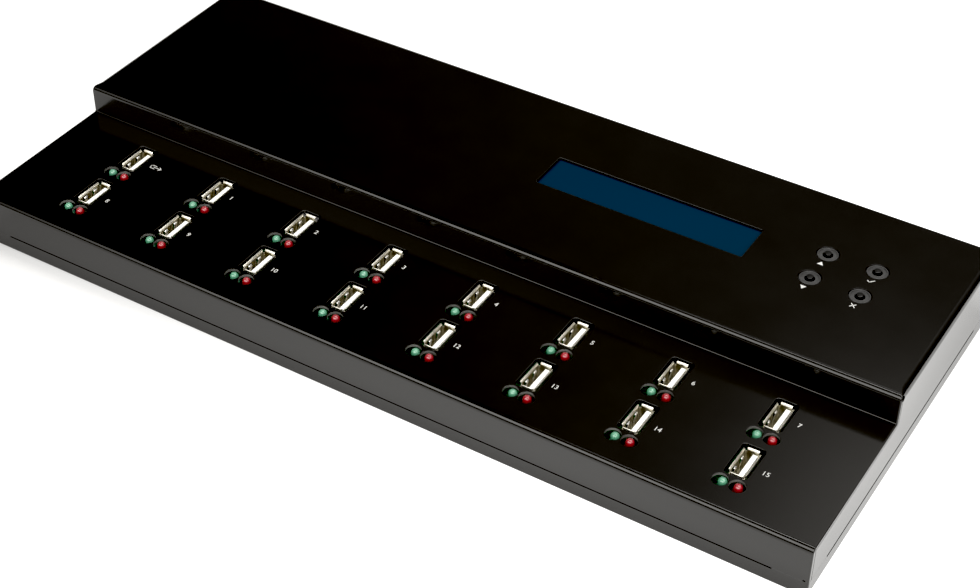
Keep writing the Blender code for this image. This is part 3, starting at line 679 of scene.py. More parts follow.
def side_groove(side):
    """A hairline in the side wall that follows the low deck, the step's foot and the step."""
    near, far = 1.15, 1.55
    outer, inner = [], []
    for inset, line in ((near, outer), (far, inner)):
        fillet = INNER_BEND_R + inset
        line.append((-HALF_D + 1.3, LOW_DECK - inset))
        line += arc(RISER_Y - INNER_BEND_R, LOW_DECK + INNER_BEND_R, fillet, -90, 0, 6)
        line.append((RISER_Y + inset, HIGH_DECK - 2.4))
    outline = outer + inner[::-1]
    x0, x1 = side * (HALF_W - 0.55), side * (HALF_W + 1.0)
    return Shape().loft([[(x, y, z) for y, z in outline] for x in (x0, x1)])


def corner_marks(side):
    """Relief notch at the top corner of the step, and a small round notch in the front's lower edge near the corner.
    """
    made = Shape()
    centre = (RISER_Y + 1.75, HIGH_DECK - 1.75)
    ring = [(centre[0] + a, centre[1] + b) for a, b in circle(1.15, 24)]
    x0, x1 = side * (HALF_W - 1.6), side * (HALF_W + 1.0)
    made.loft([[(x, y, z) for y, z in ring] for x in (x0, x1)])
    notch = [(side * (HALF_W - 1.7) + a, COVER_EDGE + 0.15 + b) for a, b in circle(0.55, 20)]
    made.loft([[(x, y, z) for x, z in notch] for y in (-HALF_D - 1.0, -HALF_D + 1.6)])
    return made


def front_seam(side):
    x0, x1 = side * (HALF_W - 0.45), side * (HALF_W + 1.0)
    return Shape().box(
        (min(x0, x1), -HALF_D + 1.75, COVER_EDGE - 1), (max(x0, x1), -HALF_D + 2.1, LOW_DECK - 1.9))


groove = Shape()
marks = Shape()
seams = Shape()
for side in (-1, 1):
    groove.join(side_groove(side))
    marks.join(corner_marks(side))
    seams.join(front_seam(side))

cover = combined(
    cover_skin(), ("DIFFERENCE", hollow), ("DIFFERENCE", low_holes),
    ("DIFFERENCE", high_holes), ("DIFFERENCE", rear_holes), ("DIFFERENCE", groove),
    ("DIFFERENCE", marks), ("DIFFERENCE", seams))
cover = shaded(cover, 30.0)
cover.materials.append(BLACK_COAT)
cover.materials.append(HOLE_WALL_PAINTED_LIGHT)
hole_places = [
    (PORT_X0 + PITCH * column + hole_x, port_y + LAMP_HOLE_Y)
    for row, port_y in PORT_ROWS for column in range(8) for hole_x in LAMP_HOLE_X]
# the lamp holes' walls take the lighter grey: painted light for their lit far walls
for face in cover.polygons:
    x, y, z = face.center.x / MM, face.center.y / MM - SHIFT, face.center.z / MM
    if not (LOW_DECK - 1.1 < z < LOW_DECK - 0.1 and abs(face.normal.z) < 0.3):
        continue
    if any(math.hypot(x - a, y - b) < LAMP_HOLE_R + 0.05 for a, b in hole_places):
        face.material_index = 1
piece("top_cover_sheet", cover, BLACK_COAT, replaces=["top_cover"])


# --------------------------------------------------------------------- base tray
def tray_ring(inset, z, radius):
    return outline_at(round_rect(HALF_W - inset, HALF_D - inset, max(radius, 0.05), 6), z)


CORNER_TOP = COVER_EDGE - 0.05     # the tray stands higher at its corners
tray_rings = []
for i in range(7):
    t = math.radians(90 * i / 6)
    tray_rings.append(tray_ring(0.4 * (1 - math.sin(t)), FLOOR_H + 0.4 * (1 - math.cos(t)), FOLD_R + 0.3))
tray_rings.append(tray_ring(0.0, CORNER_TOP - 0.03, FOLD_R + 0.3))
tray_rings.append(tray_ring(0.03, CORNER_TOP, FOLD_R + 0.27))
tray_body = Shape().loft(tray_rings)
tray_hollow = Shape().loft([
    tray_ring(SHEET, FLOOR_H + SHEET, 0.5), tray_ring(SHEET, COVER_EDGE + 3, 0.5)])
tray_cut = Shape()
SLOT_END_X, SLOT_END_Y = HALF_W - 13.0, HALF_D - 14.4
tray_cut.box((-SLOT_END_X, -HALF_D - 2, TRAY_TOP), (SLOT_END_X, -HALF_D + 1.25, COVER_EDGE + 2))
tray_cut.box((-SLOT_END_X, HALF_D - 1.25, TRAY_TOP), (SLOT_END_X, HALF_D + 2, COVER_EDGE + 2))
tray_cut.box((-HALF_W - 2, -SLOT_END_Y, TRAY_TOP - 0.35), (-HALF_W + 1.25, SLOT_END_Y, COVER_EDGE + 2))
tray_cut.box((HALF_W - 1.25, -SLOT_END_Y, TRAY_TOP - 0.35), (HALF_W + 2, SLOT_END_Y, COVER_EDGE + 2))
lip_outer = [(1.4, 0.4), (2.4, 0.2)]
lip = Shape().loft([tray_ring(1.4, FLOOR_H + SHEET / 2, 0.6), tray_ring(1.4, 11.2, 0.6)])
lip_hollow = Shape().loft([
    tray_ring(2.4, FLOOR_H + SHEET, 0.4), tray_ring(2.4, 14.0, 0.4)])
tray = combined(tray_body, ("DIFFERENCE", tray_hollow), ("DIFFERENCE", tray_cut))
lip_mesh = combined(lip, ("DIFFERENCE", lip_hollow))
tabs = Shape()
for side in (-1, 1):
    tabs.box((side * SCREW_X - 8, HALF_D - 2.4, 10.9), (side * SCREW_X + 8, HALF_D - 1.45, 27.0))
posts = Shape()
for post_x, post_y in (
    [(x, y) for x in (-160.0, -80.0, 0.0, 80.0, 160.0) for y in (-70.0, -22.0)]
    + [(x, y) for x in (-146.0, -14.0) for y in (-2.0, 68.0)]
):
    posts.join(turned([
        (0, FLOOR_H + 0.5), (2.5, FLOOR_H + 0.5), (2.5, 7.7), (0, 7.7)], 20).moved(post_x, post_y))
tray = combined(tray, ("UNION", lip_mesh), ("UNION", tabs), ("UNION", posts))
piece("base_tray_sheet", shaded(tray, 30.0), TRAY_COAT, replaces=["base_tray"])

# -------------------------------------------------------------------------- feet
foot_profile = [(0, FLOOR_H - 0.3), (6.2, FLOOR_H - 0.3), (6.4, FLOOR_H - 0.45)]
foot_profile += [(6.15, 0.6)]
foot_profile += arc(5.5, 0.55, 0.55, 0, -90, 5)
foot_profile += [(3.0, 0.0), (2.7, 0.35), (0, 0.35)]
foot_mesh = shaded(turned(foot_profile, 48).mesh("foot", row=False))
for foot, sx, sy in (
    ("foot_front_left", -1, -1), ("foot_front_right", 1, -1),
    ("foot_rear_left", -1, 1), ("foot_rear_right", 1, 1),
):
    piece(foot + "_pad", foot_mesh, RUBBER, replaces=[foot],
          at=(sx * 155.0, sy * 62.0, 0))


# ------------------------------------------------------------------- USB sockets
SHELL_LOW = 9.9
NECK_Z = 22.4
SPRING_Y = (-2.85, 2.65)


def strip(path, thickness):
    """Outline of a sheet of this thickness along a line of (a, b) points."""
    left, right = [], []
    for i, (a, b) in enumerate(path):
        a0, b0 = path[max(i - 1, 0)]
        a1, b1 = path[min(i + 1, len(path) - 1)]
        run = math.hypot(a1 - a0, b1 - b0)
        na, nb = -(b1 - b0) / run, (a1 - a0) / run
        left.append((a + na * thickness / 2, b + nb * thickness / 2))
        right.append((a - na * thickness / 2, b - nb * thickness / 2))
    return left + right[::-1]


def lip_path(start):
    """A lip's middle line, from the wall up and outward: (outward distance, height)."""
    radius, turn = 1.2, 58.0
    low = MOUTH_Z - 0.13 - radius * math.sin(math.radians(turn))
    line = [(start, low - 0.8), (start, low - 0.3)]
    for i in range(9):
        a = math.radians(turn * i / 8)
        line.append((start + radius * (1 - math.cos(a)), low + radius * math.sin(a)))
    return line


def socket_shell():
    wall = 0.28
    half_w, half_l = 2.85, 6.55
    tube = Shape().loft([
        outline_at(round_rect(half_w, half_l, 0.55), SHELL_LOW),
        outline_at(round_rect(half_w, half_l, 0.55), NECK_Z - 0.35)])
    bore = Shape().loft([
        outline_at(round_rect(half_w - wall, half_l - wall, 0.3), SHELL_LOW + 2.2),
        outline_at(round_rect(half_w - wall, half_l - wall, 0.3), NECK_Z + 3)])
    slots = Shape()
    for y in SPRING_Y:
        slots.box((-half_w - 1, y - 1.0, 17.8), (-half_w + 1, y + 1.0, 22.3))
    lips = []
    for side in (-1, 1):
        section = strip(lip_path(half_w - wall / 2), wall)
        reach = half_l - 0.75
        lips.append(Shape().loft([
            [(side * a, y, z) for a, z in section] for y in (-reach, reach)]))
        section = strip(lip_path(half_l - wall / 2), wall)
        reach = half_w - 0.7
        lips.append(Shape().loft([
            [(x, side * a, z) for a, z in section] for x in (-reach, reach)]))
    mesh = combined(
        tube.mesh("tube", row=False), ("DIFFERENCE", bore.mesh("bore", row=False)),
        *(("UNION", one.mesh("lip", row=False)) for one in lips),
        ("DIFFERENCE", slots.mesh("slots", row=False)))
    mesh = soften(mesh, 0.06, 50.0, 2)
    leaves = Shape()
    for y in SPRING_Y:
        path = [
            (-2.71, 17.6), (-2.70, 18.1), (-2.58, 19.2), (-2.32, 20.3), (-2.06, 21.1),
            (-1.94, 21.55), (-1.96, 21.8), (-2.12, 22.02), (-2.38, 22.18)]
        section = strip(path, 0.24)
        leaves.loft([[(a, y + w, z) for a, z in section] for w in (-0.84, 0.84)])
    leaf_mesh = soften(leaves.mesh("leaves", row=False), 0.07, 50.0, 2)
    mesh.materials.clear()
    mesh.materials.append(NICKEL)
    mesh.materials.append(SHELL_INSIDE_PAINTED_SHADE)
    mesh.materials.append(SPRING_PLATE)
    for face in leaf_mesh.polygons:
        face.material_index = 2
    # inner walls below the lips take the darker inside plate: painted shade with painted reflection streaks
    for face in mesh.polygons:
        c, n = face.center / MM, face.normal
        if c.z < MOUTH_Z - 0.75 and abs(c.x) < half_w - 0.2 and abs(c.y) < half_l - 0.2 and c.x * n.x + c.y * n.y < 0:
            face.material_index = 1
    bm = bmesh.new()
    bm.from_mesh(mesh)
    bm.from_mesh(leaf_mesh)
    bm.to_mesh(mesh)
    bm.free()
    bpy.data.meshes.remove(leaf_mesh)
    return shaded(mesh, 40.0)


def socket_moulding():
    """White moulding: its floor in the shell, and the tongue with its chamfered tip."""
    base = Shape().loft([
        outline_at(round_rect(2.5, 6.2, 0.25), SHELL_LOW + 2.25),
        outline_at(round_rect(2.5, 6.2, 0.25), SHELL_LOW + 3.4)])
    x0, x1, half, tip = 0.3, 2.15, 5.65, 22.42
    rings = []
    for inset, z in ((0.0, SHELL_LOW + 3.0), (0.0, tip - 0.22), (0.06, tip - 0.07), (0.18, tip)):
        rings.append([
            (x0 + inset, -half + inset, z), (x1 - inset, -half + inset, z),
            (x1 - inset, half - inset, z), (x0 + inset, half - inset, z)])
    tongue = Shape().loft(rings)
    recesses = Shape()
    for y in (-3.5, -1.0, 1.0, 3.5):
        recesses.box((x0 - 1, y - 0.55, SHELL_LOW + 4), (x0 + 0.16, y + 0.55, tip - 0.55))
    mesh = combined(
        base.mesh("base", row=False), ("UNION", tongue.mesh("tongue", row=False)),
        ("DIFFERENCE", recesses.mesh("recesses", row=False)))
    return shaded(soften(mesh, 0.07, 50.0, 2), 40.0)


def socket_contacts():
    """Four contact springs lying in the tongue's recesses."""
    made = Shape()
    for y in (-3.5, -1.0, 1.0, 3.5):
        path = [
            (0.42, SHELL_LOW + 3.2), (0.40, 15.5), (0.22, 18.0), (0.05, 19.4), (0.02, 20.0),
            (0.12, 20.7), (0.36, 21.4)]
        section = strip(path, 0.14)
        made.loft([[(a, y + w, z) for a, z in section] for w in (-0.42, 0.42)])
    return shaded(soften(made.mesh("contacts", row=False), 0.04, 50.0, 1), 40.0)


shell_mesh, moulding_mesh, contact_mesh = socket_shell(), socket_moulding(), socket_contacts()
for row, port_y in PORT_ROWS:
    for column in range(8):
        tag = f"{row}_{column + 1}"
        place = (PORT_X0 + PITCH * column, port_y, 0)
        piece(f"usb_shell_{tag}", shell_mesh, NICKEL, at=place,
              replaces=[f"usb_socket_{tag}"])
        piece(f"usb_moulding_{tag}", moulding_mesh, WHITE_MOULDING, at=place)
        piece(f"usb_contacts_{tag}", contact_mesh, CONTACT_GOLD, at=place)


# ------------------------------------------------------------------------- lamps
def lamp_mesh():
    """A 3 mm domed lens with its flange, from the dome's top at height 0 down."""
    profile = [(0, 0)]
    for i in range(1, 10):
        a = math.radians(90 * (1 - i / 9))
        profile.append((LAMP_R * math.cos(a), -LAMP_R + LAMP_R * math.sin(a)))
    profile += [(LAMP_R, -3.7), (1.9, -3.75), (1.95, -3.9), (1.95, -4.6), (0, -4.6)]
    return shaded(turned(profile, 40).mesh("lamp", row=False), 40.0)


def spacer_mesh():
    half = (LAMP_X["red"] - LAMP_X["green"]) / 2
    top = LAMP_TOP - 4.75
    body = Shape().loft([
        outline_at(round_rect(half + 2.1 - i, 2.2 - i, 0.5), z)
        for i, z in ((0.1, 9.9), (0.0, 10.1), (0.0, top - 0.2), (0.15, top))])
    bores = Shape()
    for side in (-1, 1):
        bores.loft([outline_at(circle(1.0, 24), z, side * half) for z in (9.0, top + 2)])
    return shaded(combined(body.mesh("body", row=False), ("DIFFERENCE", bores.mesh("bores", row=False))), 40.0)


lamp, spacer = lamp_mesh(), spacer_mesh()
green_lamp, red_lamp = lamp, lamp.copy()
for row, port_y in PORT_ROWS:
    for column in range(8):
        tag = f"{row}_{column + 1}"
        port_x = PORT_X0 + PITCH * column
        middle = port_x + (LAMP_X["green"] + LAMP_X["red"]) / 2
        piece(f"lamp_spacer_{tag}", spacer, LAMP_BLACK,
              at=(middle, port_y + LAMP_Y, 0), replaces=[f"led_pair_{tag}"])
        piece(f"lamp_green_{tag}", green_lamp, GREEN_LENS,
              at=(port_x + LAMP_X["green"], port_y + LAMP_Y, LAMP_TOP))
        piece(f"lamp_red_{tag}", red_lamp, RED_LENS,
              at=(port_x + LAMP_X["red"], port_y + LAMP_Y, LAMP_TOP))

# ----------------------------------------------------------------------- display
glass_low, glass_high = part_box("lcd_glass")
glass_half_w = (glass_high.x - glass_low.x) / 2 / MM
glass_half_d = (glass_high.y - glass_low.y) / 2 / MM
glass_cx = (glass_low.x + glass_high.x) / 2 / MM
glass_cy = (glass_low.y + glass_high.y) / 2 / MM - SHIFT
glass = Shape().loft([
    outline_at(round_rect(glass_half_w - i, glass_half_d - i, 0.5), z, glass_cx, glass_cy)
    for i, z in (
        (0.15, glass_low.z / MM), (0.0, glass_low.z / MM + 0.15),
        (0.0, glass_high.z / MM - 0.15), (0.15, glass_high.z / MM))])
piece("lcd_glass_plate", shaded(glass.mesh("lcd_glass_plate"), 30.0), DISPLAY,
      replaces=["lcd_glass"])

# -------------------------------------------------------------------------- keys
ring_profile = [
    (1.95, HIGH_DECK - 0.46), (2.01, HIGH_DECK - 0.40), (3.36, HIGH_DECK - 0.40),
    (3.40, HIGH_DECK - 0.36), (3.42, HIGH_DECK - 0.12), (3.49, HIGH_DECK - 0.05),
    (3.86, HIGH_DECK - 0.05), (3.95, HIGH_DECK - 0.14), (3.95, HIGH_DECK - 1.28),
    (4.0, HIGH_DECK - 1.3), (5.2, HIGH_DECK - 1.3), (5.2, HIGH_DECK - 2.4),
    (1.95, HIGH_DECK - 2.4)]
ring_mesh = shaded(turned(ring_profile, 64).mesh("key_ring", row=False), 35.0)
stem_profile = [(0, 0)]
stem_profile += [(0.7, -0.02), (1.05, -0.06)]
stem_profile += arc(1.12, -0.34, 0.28, 90, 0, 5)
stem_profile += [(1.4, -5.2), (0, -5.2)]
stem_mesh = shaded(turned(stem_profile, 40).mesh("key_stem", row=False), 35.0)
for word, (key_x, key_y) in KEYS.items():
    piece(f"key_ring_{word}_moulding", ring_mesh, RING_GREY,
          at=(key_x, key_y, 0), replaces=[f"key_ring_{word}"])
    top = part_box(f"key_stem_{word}")[1].z / MM
    piece(f"key_stem_{word}_cap", stem_mesh, KEY_BLACK, body=f"key_{word}",
          at=(key_x, key_y, top), replaces=[f"key_stem_{word}"])

# ------------------------------------------------------------------- back fittings
jack_low, jack_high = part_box("dc_jack")
block = Shape().box((JACK_X - 4.5, 67.0, 9.9), (JACK_X + 4.5, 77.9, JACK_Z + 5.5))


def along_back(profile, x, z, y):
    """A turned shape whose axis points out of the back, its height 0 at y."""
    return turned(profile, 44).mapped(lambda a, b, c: (x + a, y + c, z + b))


barrel = along_back([
    (0, -5.0), (3.8, -5.0), (3.8, -0.25), (3.6, -0.1), (0, -0.1)], JACK_X, JACK_Z, HALF_D)
bore = along_back([
    (0, -9.0), (3.2, -9.0), (3.2, -0.5), (3.35, 0.2), (3.35, 2), (0, 2)], JACK_X, JACK_Z, HALF_D)
jack = soften(combined(block, ("UNION", barrel)), 0.25, 60.0, 3)
jack = combined(jack, ("DIFFERENCE", bore))
piece("dc_jack_body", shaded(jack, 35.0), BLACK_PLASTIC, replaces=["dc_jack"])
pin = along_back([
    (0, -9.2), (1.0, -9.2), (1.0, -2.5), (0.85, -2.2), (0.5, -2.1), (0, -2.1)],
    JACK_X, JACK_Z, HALF_D)
piece("dc_jack_pin", shaded(pin.mesh("dc_jack_pin"), 35.0), TIN)

BEZEL_BACK, BEZEL_T = HALF_D + 0.3, 1.6
bezel = Shape().loft([
    [(SWITCH_X + a, y, SWITCH_Z + b) for a, b in round_rect(10.5 - i, 7.5 - i, 1.0)]
    for i, y in ((0.0, BEZEL_BACK), (0.0, BEZEL_BACK + 0.9), (0.25, BEZEL_BACK + 1.35),
                 (0.7, BEZEL_BACK + BEZEL_T))])
switch_body = Shape().box(
    (SWITCH_X - 9.3, BEZEL_BACK - 13.0, SWITCH_Z - 6.2),
    (SWITCH_X + 9.3, BEZEL_BACK + 0.5, SWITCH_Z + 6.2))
blades = Shape()
for dx in (-5.0, 5.0):
    blades.box((SWITCH_X + dx - 0.4, BEZEL_BACK - 19.0, SWITCH_Z - 2.4),
               (SWITCH_X + dx + 0.4, BEZEL_BACK - 12.0, SWITCH_Z + 2.4))
PIVOT_Y = BEZEL_BACK + BEZEL_T - 1.0
pocket = Shape().box(
    (SWITCH_X - 7.75, PIVOT_Y - 4.6, SWITCH_Z - 5.5),
    (SWITCH_X + 7.75, BEZEL_BACK + BEZEL_T + 2, SWITCH_Z + 5.5))
switch = combined(bezel, ("UNION", switch_body), ("DIFFERENCE", pocket))
switch = soften(switch, 0.15, 50.0, 2)
piece("power_switch_frame", shaded(switch, 35.0), BLACK_PLASTIC,
      replaces=["power_switch"])
piece("power_switch_blades", shaded(soften(blades.mesh("blades"), 0.1, 50.0, 2), 35.0), TIN)

TILT = math.radians(10.0)
rocker_line = [(-6.9, -0.6), (-6.9, 2.35), (-6.65, 2.6)]
for i in range(1, 12):
    u = -6.65 + 13.3 * i / 12
    rocker_line.append((u, 1.5 + 1.1 * (u / 6.65) ** 2))
rocker_line += [(6.65, 2.6), (6.9, 2.35), (6.9, -0.6), (3.0, -3.0), (-3.0, -3.0)]
rocker = Shape()


def rocker_point(u, w, h):
    return (
        SWITCH_X + u * math.cos(TILT) - w * math.sin(TILT),
        PIVOT_Y + u * math.sin(TILT) + w * math.cos(TILT), SWITCH_Z + h)


rocker.loft([[rocker_point(u, w, h) for u, w in rocker_line] for h in (-5.2, 5.2)])
rocker_mesh = soften(rocker.mesh("power_rocker_cap"), 0.2, 50.0, 3)
piece("power_rocker_cap", shaded(rocker_mesh, 35.0), BLACK_PLASTIC,
      body="rocker", replaces=["power_rocker"])


def screw_mesh():
    """Pan head with a cross recess, its seat at height 0 and its shank below."""
    profile = [(0, 1.7), (1.0, 1.66), (1.8, 1.5), (2.4, 1.1), (2.7, 0.55), (2.8, 0.0), (1.4, 0.0)]
    z = -0.4
    while z > -6.6:
        profile += [(1.4, z), (1.12, z - 0.25), (1.4, z - 0.5)]
        z -= 0.5
    profile += [(1.1, -7.0), (0, -7.0)]
    body = turned(profile, 36)
    cross = Shape()
    cross.loft([
        [(-1.3, -0.28, 2.5), (1.3, -0.28, 2.5), (1.3, 0.28, 2.5), (-1.3, 0.28, 2.5)],
        [(-0.75, -0.2, 0.55), (0.75, -0.2, 0.55), (0.75, 0.2, 0.55), (-0.75, 0.2, 0.55)]])
    other = cross.mapped(lambda a, b, c: (-b, a, c))
    return combined(
        body.mesh("body", row=False), ("DIFFERENCE", cross.mesh("cross", row=False)),
        ("DIFFERENCE", other.mesh("other", row=False)))


screw = shaded(screw_mesh(), 35.0)
screw.transform(Matrix.Rotation(math.radians(-90), 4, "X"))
for screw_name, side in (("rear_screw_left", -1), ("rear_screw_right", 1)):
    piece(screw_name + "_pan", screw, SCREW_BLACK,
          at=(side * SCREW_X, HALF_D + 0.3, SCREW_Z), replaces=[screw_name])

# ------------------------------------------------------------ printed figures, symbols
PRINT_T = 0.03


def text_shape(text, height, x, y, z, anchor="LEFT"):
    """Figures as thin ink, their left edge at x and their middle at y."""
    data = bpy.data.curves.new("ink", "FONT")
    data.body = text
    data.size = height * 1.42 * MM
    data.extrude = PRINT_T / 2 * MM
    data.align_x = anchor
    data.resolution_u = 6
    data.offset = 0.0
    holder = bpy.data.objects.new("ink", data)
    scene.collection.objects.link(holder)
    mesh = evaluated(holder)
    bpy.data.objects.remove(holder, do_unlink=True)
    bpy.data.curves.remove(data)
    xs = [v.co.x for v in mesh.vertices]
    ys = [v.co.y for v in mesh.vertices]
    mid = (min(ys) + max(ys)) / 2
    scale = height * MM / (max(ys) - min(ys))
    left = {"LEFT": min(xs), "CENTER": (min(xs) + max(xs)) / 2}[anchor]
    for v in mesh.vertices:
        v.co = Vector((
            (v.co.x - left) * scale + x * MM, (v.co.y - mid) * scale + (y + SHIFT) * MM,
            v.co.z + (z - 0.005) * MM))
    return mesh


def ink(outline, z):
    """A flat outline printed at this height."""
    return Shape().loft([
        outline_at(outline, z - 0.02), outline_at(outline, z - 0.02 + PRINT_T)]).mesh("ink")


def stroke(a, b, width, z):
    """A straight printed line."""
    d = Vector((b[0] - a[0], b[1] - a[1])).normalized() * (width / 2)
    return ink([
        (a[0] - d.x - d.y, a[1] - d.y + d.x), (a[0] - d.x + d.y, a[1] - d.y - d.x),
        (b[0] + d.x + d.y, b[1] + d.y - d.x), (b[0] + d.x - d.y, b[1] + d.y + d.x)][::-1], z)


def joined(meshes, name):
    bm = bmesh.new()
    for m in meshes:
        bm.from_mesh(m)
        bpy.data.meshes.remove(m)
    made = bpy.data.meshes.new(name)
    bmesh.ops.remove_doubles(bm, verts=bm.verts, dist=1e-8)
    bm.to_mesh(made)
    bm.free()
    return made


numbers = []
for row, port_y in PORT_ROWS:
    for column in range(8):
        number = column if row == "rear" else column + 8
        port_x = PORT_X0 + PITCH * column
        x = port_x + 7.6
        y = port_y - (1.0 if row == "rear" else 1.9)
        if number:
            numbers.append(text_shape(str(number), 2.0, x, y, LOW_DECK))
            continue
        # an arrow leaving a tray: the socket that is copied from
        for a, b in (
            ((0.2, 0.9), (0.2, -0.9)), ((0.2, -0.9), (2.4, -0.9)), ((0.2, 0.9), (2.4, 0.9)),
            ((1.6, 0.0), (5.2, 0.0)), ((4.1, 0.85), (5.3, 0.0)), ((4.1, -0.85), (5.3, 0.0)),
        ):
            numbers.append(stroke((x + a[0], y + a[1]), (x + b[0], y + b[1]), 0.28, LOW_DECK))
piece("print_port_numbers", joined(numbers, "print_port_numbers"), PRINT)

symbols = []
for word, (key_x, key_y) in KEYS.items():
    x, y = key_x, key_y - 6.4
    if word == "up":
        symbols.append(ink([(x - 1.2, y - 0.9), (x + 1.2, y - 0.9), (x, y + 1.0)], HIGH_DECK))
    elif word == "down":
        symbols.append(ink([(x - 1.2, y + 0.9), (x, y - 1.0), (x + 1.2, y + 0.9)], HIGH_DECK))
    elif word == "ok":
        symbols.append(stroke((x - 1.1, y - 0.05), (x - 0.35, y - 0.8), 0.36, HIGH_DECK))
        symbols.append(stroke((x - 0.35, y - 0.8), (x + 1.2, y + 0.85), 0.36, HIGH_DECK))
    else:
        symbols.append(stroke((x - 0.85, y - 0.85), (x + 0.85, y + 0.85), 0.36, HIGH_DECK))
        symbols.append(stroke((x - 0.85, y + 0.85), (x + 0.85, y - 0.85), 0.36, HIGH_DECK))
piece("print_key_symbols", joined(symbols, "print_key_symbols"), PRINT)

# ------------------------------------------------------------------- floor and light
floor_mesh = Shape().loft([
    outline_at(circle(1600.0, 96), z) for z in (-8.0, 0.0)]).mesh("floor")
floor_made = bpy.data.objects.new("floor", floor_mesh)
scene.collection.objects.link(floor_made)
pale = bpy.data.materials.new("floor_pale")
pale.use_nodes = True
nodes = Nodes(pale.node_tree)
out = nodes.new("ShaderNodeOutputMaterial")
shader = nodes.new("ShaderNodeBsdfPrincipled", {
    "Base Color": (0.35, 0.35, 0.35, 1), "Roughness": 0.9, "Specular IOR Level": 0.1})
where = nodes.new("ShaderNodeTexCoord").outputs["Object"]
split = nodes.new("ShaderNodeSeparateXYZ", {"Vector": where})
# painted light and shade in the floor's glow: dimmest near the case's left end and darker again about 90 mm along Y,
# reflected in the coat
FRONT_LEVELS = ((-240, 1.3), (-180, 0.5), (70, 1.6))
SIDE_LEVELS = ((-10, 1.0), (90, 0.6), (150, 1.4))


def along(value, levels):
    """A brightness that follows (millimetres, level) pairs along one direction."""
    first, last = levels[0][0], levels[-1][0]
    place = nodes.remap(value, first * MM, last * MM, 0.0, 1.0)
    stops = [((at - first) / (last - first), (level, level, level)) for at, level in levels]
    made = nodes.ramp(place, stops)
    return nodes.new("ShaderNodeSeparateColor", {"Color": made}).outputs[0]


level = nodes.math("MULTIPLY", along(split.outputs["X"], FRONT_LEVELS), along(split.outputs["Y"], SIDE_LEVELS))
# painted shadow: the floor darker close to the case's foot
away_x = nodes.math("SUBTRACT", nodes.math("ABSOLUTE", split.outputs["X"]), HALF_W * MM)
away_y = nodes.math("SUBTRACT", nodes.math("ABSOLUTE", nodes.math("SUBTRACT", split.outputs["Y"], SHIFT * MM)), HALF_D * MM)
away = nodes.math("MAXIMUM", away_x, away_y)
level = nodes.math("MULTIPLY", level, nodes.remap(away, 0.003, 0.013, 0.72, 1.0, smooth=True))
paper = nodes.noise(where, 400.0, 2.0)
level = nodes.math("MULTIPLY", level, nodes.remap(paper, 0.3, 0.7, 0.99, 1.01))
shader.inputs["Emission Color"].default_value = (1.0, 0.995, 0.98, 1.0)
nodes.tree.links.new(level, shader.inputs["Emission Strength"])
nodes.tree.links.new(shader.outputs["BSDF"], out.inputs["Surface"])
floor_mesh.materials.append(pale)

world = bpy.data.worlds.new("studio")
scene.world = world
world.use_nodes = True
nodes = Nodes(world.node_tree)
direction = nodes.new("ShaderNodeTexCoord").outputs["Generated"]


def dot(vector):
    made = nodes.new("ShaderNodeVectorMath", operation="DOT_PRODUCT")
    nodes.tree.links.new(direction, made.inputs[0])
    made.inputs[1].default_value = vector
    return made.outputs["Value"]


def heading(azimuth, elevation):
    """A direction: azimuth in degrees from +Y towards -X, elevation above the floor."""
    a, e = math.radians(azimuth), math.radians(elevation)
    return Vector((-math.sin(a) * math.cos(e), math.cos(a) * math.cos(e), math.sin(e)))


def panel(centre, half_across, half_up, soft, roll=0.0):
    """A soft rectangular light far away: its middle's direction, its half sizes in degrees."""
    c = centre.normalized()
    side = c.cross(Vector((0, 0, 1)))
    side = side.normalized() if side.length > 1e-4 else Vector((1, 0, 0))
    up = side.cross(c).normalized()
    if roll:
        turn = Quaternion(c, math.radians(roll))
        side, up = turn @ side, turn @ up
    depth = nodes.math("MAXIMUM", dot(c), 0.02)
    mask = nodes.remap(dot(c), 0.02, 0.12, 0.0, 1.0, smooth=True)
    fades = soft if isinstance(soft, tuple) else (soft, soft)
    for axis, half, fade in ((side, half_across, fades[0]), (up, half_up, fades[1])):
        place = nodes.math("ABSOLUTE", nodes.math("DIVIDE", dot(axis), depth))
        edge = math.tan(math.radians(half))
        mask = nodes.math(
            "MULTIPLY", mask,
            nodes.remap(place, edge * (1 - fade), edge * (1 + fade), 1.0, 0.0, smooth=True))
    return mask


total = nodes.math("MULTIPLY", dot(Vector((0, 0, 1))), 0.0)
total = nodes.math("ADD", total, 0.01)
# the back of the room: brighter from the left towards the right
back = nodes.math("MAXIMUM", dot(Vector((0, 1, 0))), 0.02)
turned = nodes.math("DIVIDE", dot(Vector((-1, 0, 0))), back)
ramp = nodes.remap(turned, 0.46, 1.05, 0.27, 0.10)
ramp = nodes.math("MULTIPLY", ramp, nodes.remap(dot(Vector((0, 1, 0))), 0.2, 0.45, 0.0, 1.0, smooth=True))
ramp = nodes.math("MULTIPLY", ramp, nodes.remap(dot(Vector((0, 0, 1))), 0.17, 0.72, 0.0, 1.0))
total = nodes.math("ADD", total, ramp)
LIGHTS = (
    # centre, half across, half up, softness, strength
    (Vector((0.0, -0.73, 0.68)), 38.0, 17.0, (0.5, 0.28), 5.5, 0.0),
    (Vector((0.25, 0.135, 0.96)), 28.0, 5.0, 0.35, 10.0, 64.0),
    (heading(-8.0, 52.4), 18.0, 8.0, 0.24, 1.7, 0.0),
    (heading(-105.0, 40.0), 30.0, 18.0, 0.4, 2.0, 0.0),
)
for centre, across, up, soft, strength, roll in LIGHTS:
    total = nodes.math(
        "ADD", total, nodes.math("MULTIPLY", panel(centre, across, up, soft, roll), strength))
elevation = dot(Vector((0, 0, 1)))
horizon = nodes.remap(elevation, 0.16, 0.34, 1.0, 0.0, smooth=True)
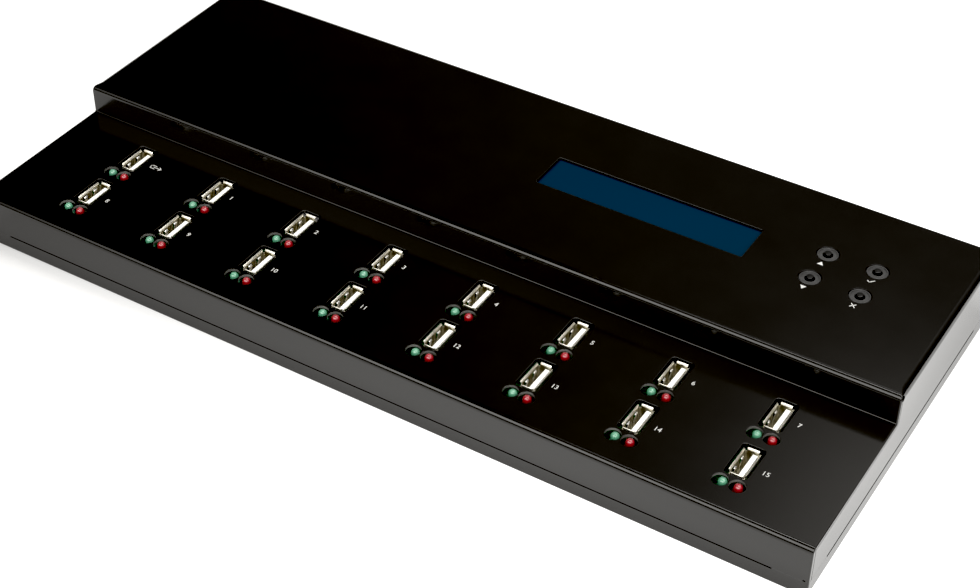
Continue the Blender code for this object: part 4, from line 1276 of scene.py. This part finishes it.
toward = nodes.remap(dot(Vector((-0.30, 0.95, 0.0))), 0.72, 0.92, 0.0, 1.0, smooth=True)
total = nodes.math("ADD", total, nodes.math("MULTIPLY", nodes.math("MULTIPLY", horizon, toward), 1.1))
studio = nodes.new("ShaderNodeBackground", {"Color": (1.0, 0.985, 0.96, 1.0), "Strength": total})
plain = nodes.new("ShaderNodeBackground", {"Color": (1.0, 1.0, 1.0, 1.0), "Strength": 1.05})
seen = nodes.new("ShaderNodeLightPath").outputs["Is Camera Ray"]
mixed = nodes.new("ShaderNodeMixShader", {0: seen})
nodes.tree.links.new(studio.outputs[0], mixed.inputs[1])
nodes.tree.links.new(plain.outputs[0], mixed.inputs[2])
out = nodes.new("ShaderNodeOutputWorld")
nodes.tree.links.new(mixed.outputs[0], out.inputs["Surface"])

scene.view_settings.view_transform = "Standard"
scene.view_settings.look = "None"
scene.view_settings.exposure = 0.0
scene.view_settings.gamma = 1.0
# the photograph's deep blacks: the darkest hundredth of the range is plain black
scene.view_settings.use_curve_mapping = True
tone = scene.view_settings.curve_mapping
tone.black_level = (0.0160, 0.0167, 0.0174)
tone.white_level = (1.0, 1.0, 1.0)
tone.update()

# ------------------------------------------------------------------------ camera
# The photograph's viewpoint, from the straight edges of the case and the grid of ports:
# eye 302 mm right of the middle, 483 mm before it and 465 mm above the ground, level
# turn and lens to match a frame of 980 x 588.
LENS = 1900.9555 * 36.0 / 980.0
turn_axis = Vector((2.1896, 0.6254, -0.2855))
world_to_eye = Quaternion(turn_axis.normalized(), turn_axis.length).to_matrix()
eye = Vector((301.86, -483.38, 465.16))
camera_data = bpy.data.cameras.new("camera")
camera_data.lens = LENS
camera_data.sensor_width = 36.0
camera_data.sensor_fit = "HORIZONTAL"
camera_data.clip_start = 0.01
camera_data.clip_end = 20.0
camera = bpy.data.objects.new("camera", camera_data)
scene.collection.objects.link(camera)
to_world = world_to_eye.transposed() @ Matrix(((1, 0, 0), (0, -1, 0), (0, 0, -1)))
camera.matrix_world = Matrix.Translation(Vector(to_row(*eye))) @ to_world.to_4x4()
scene.camera = camera
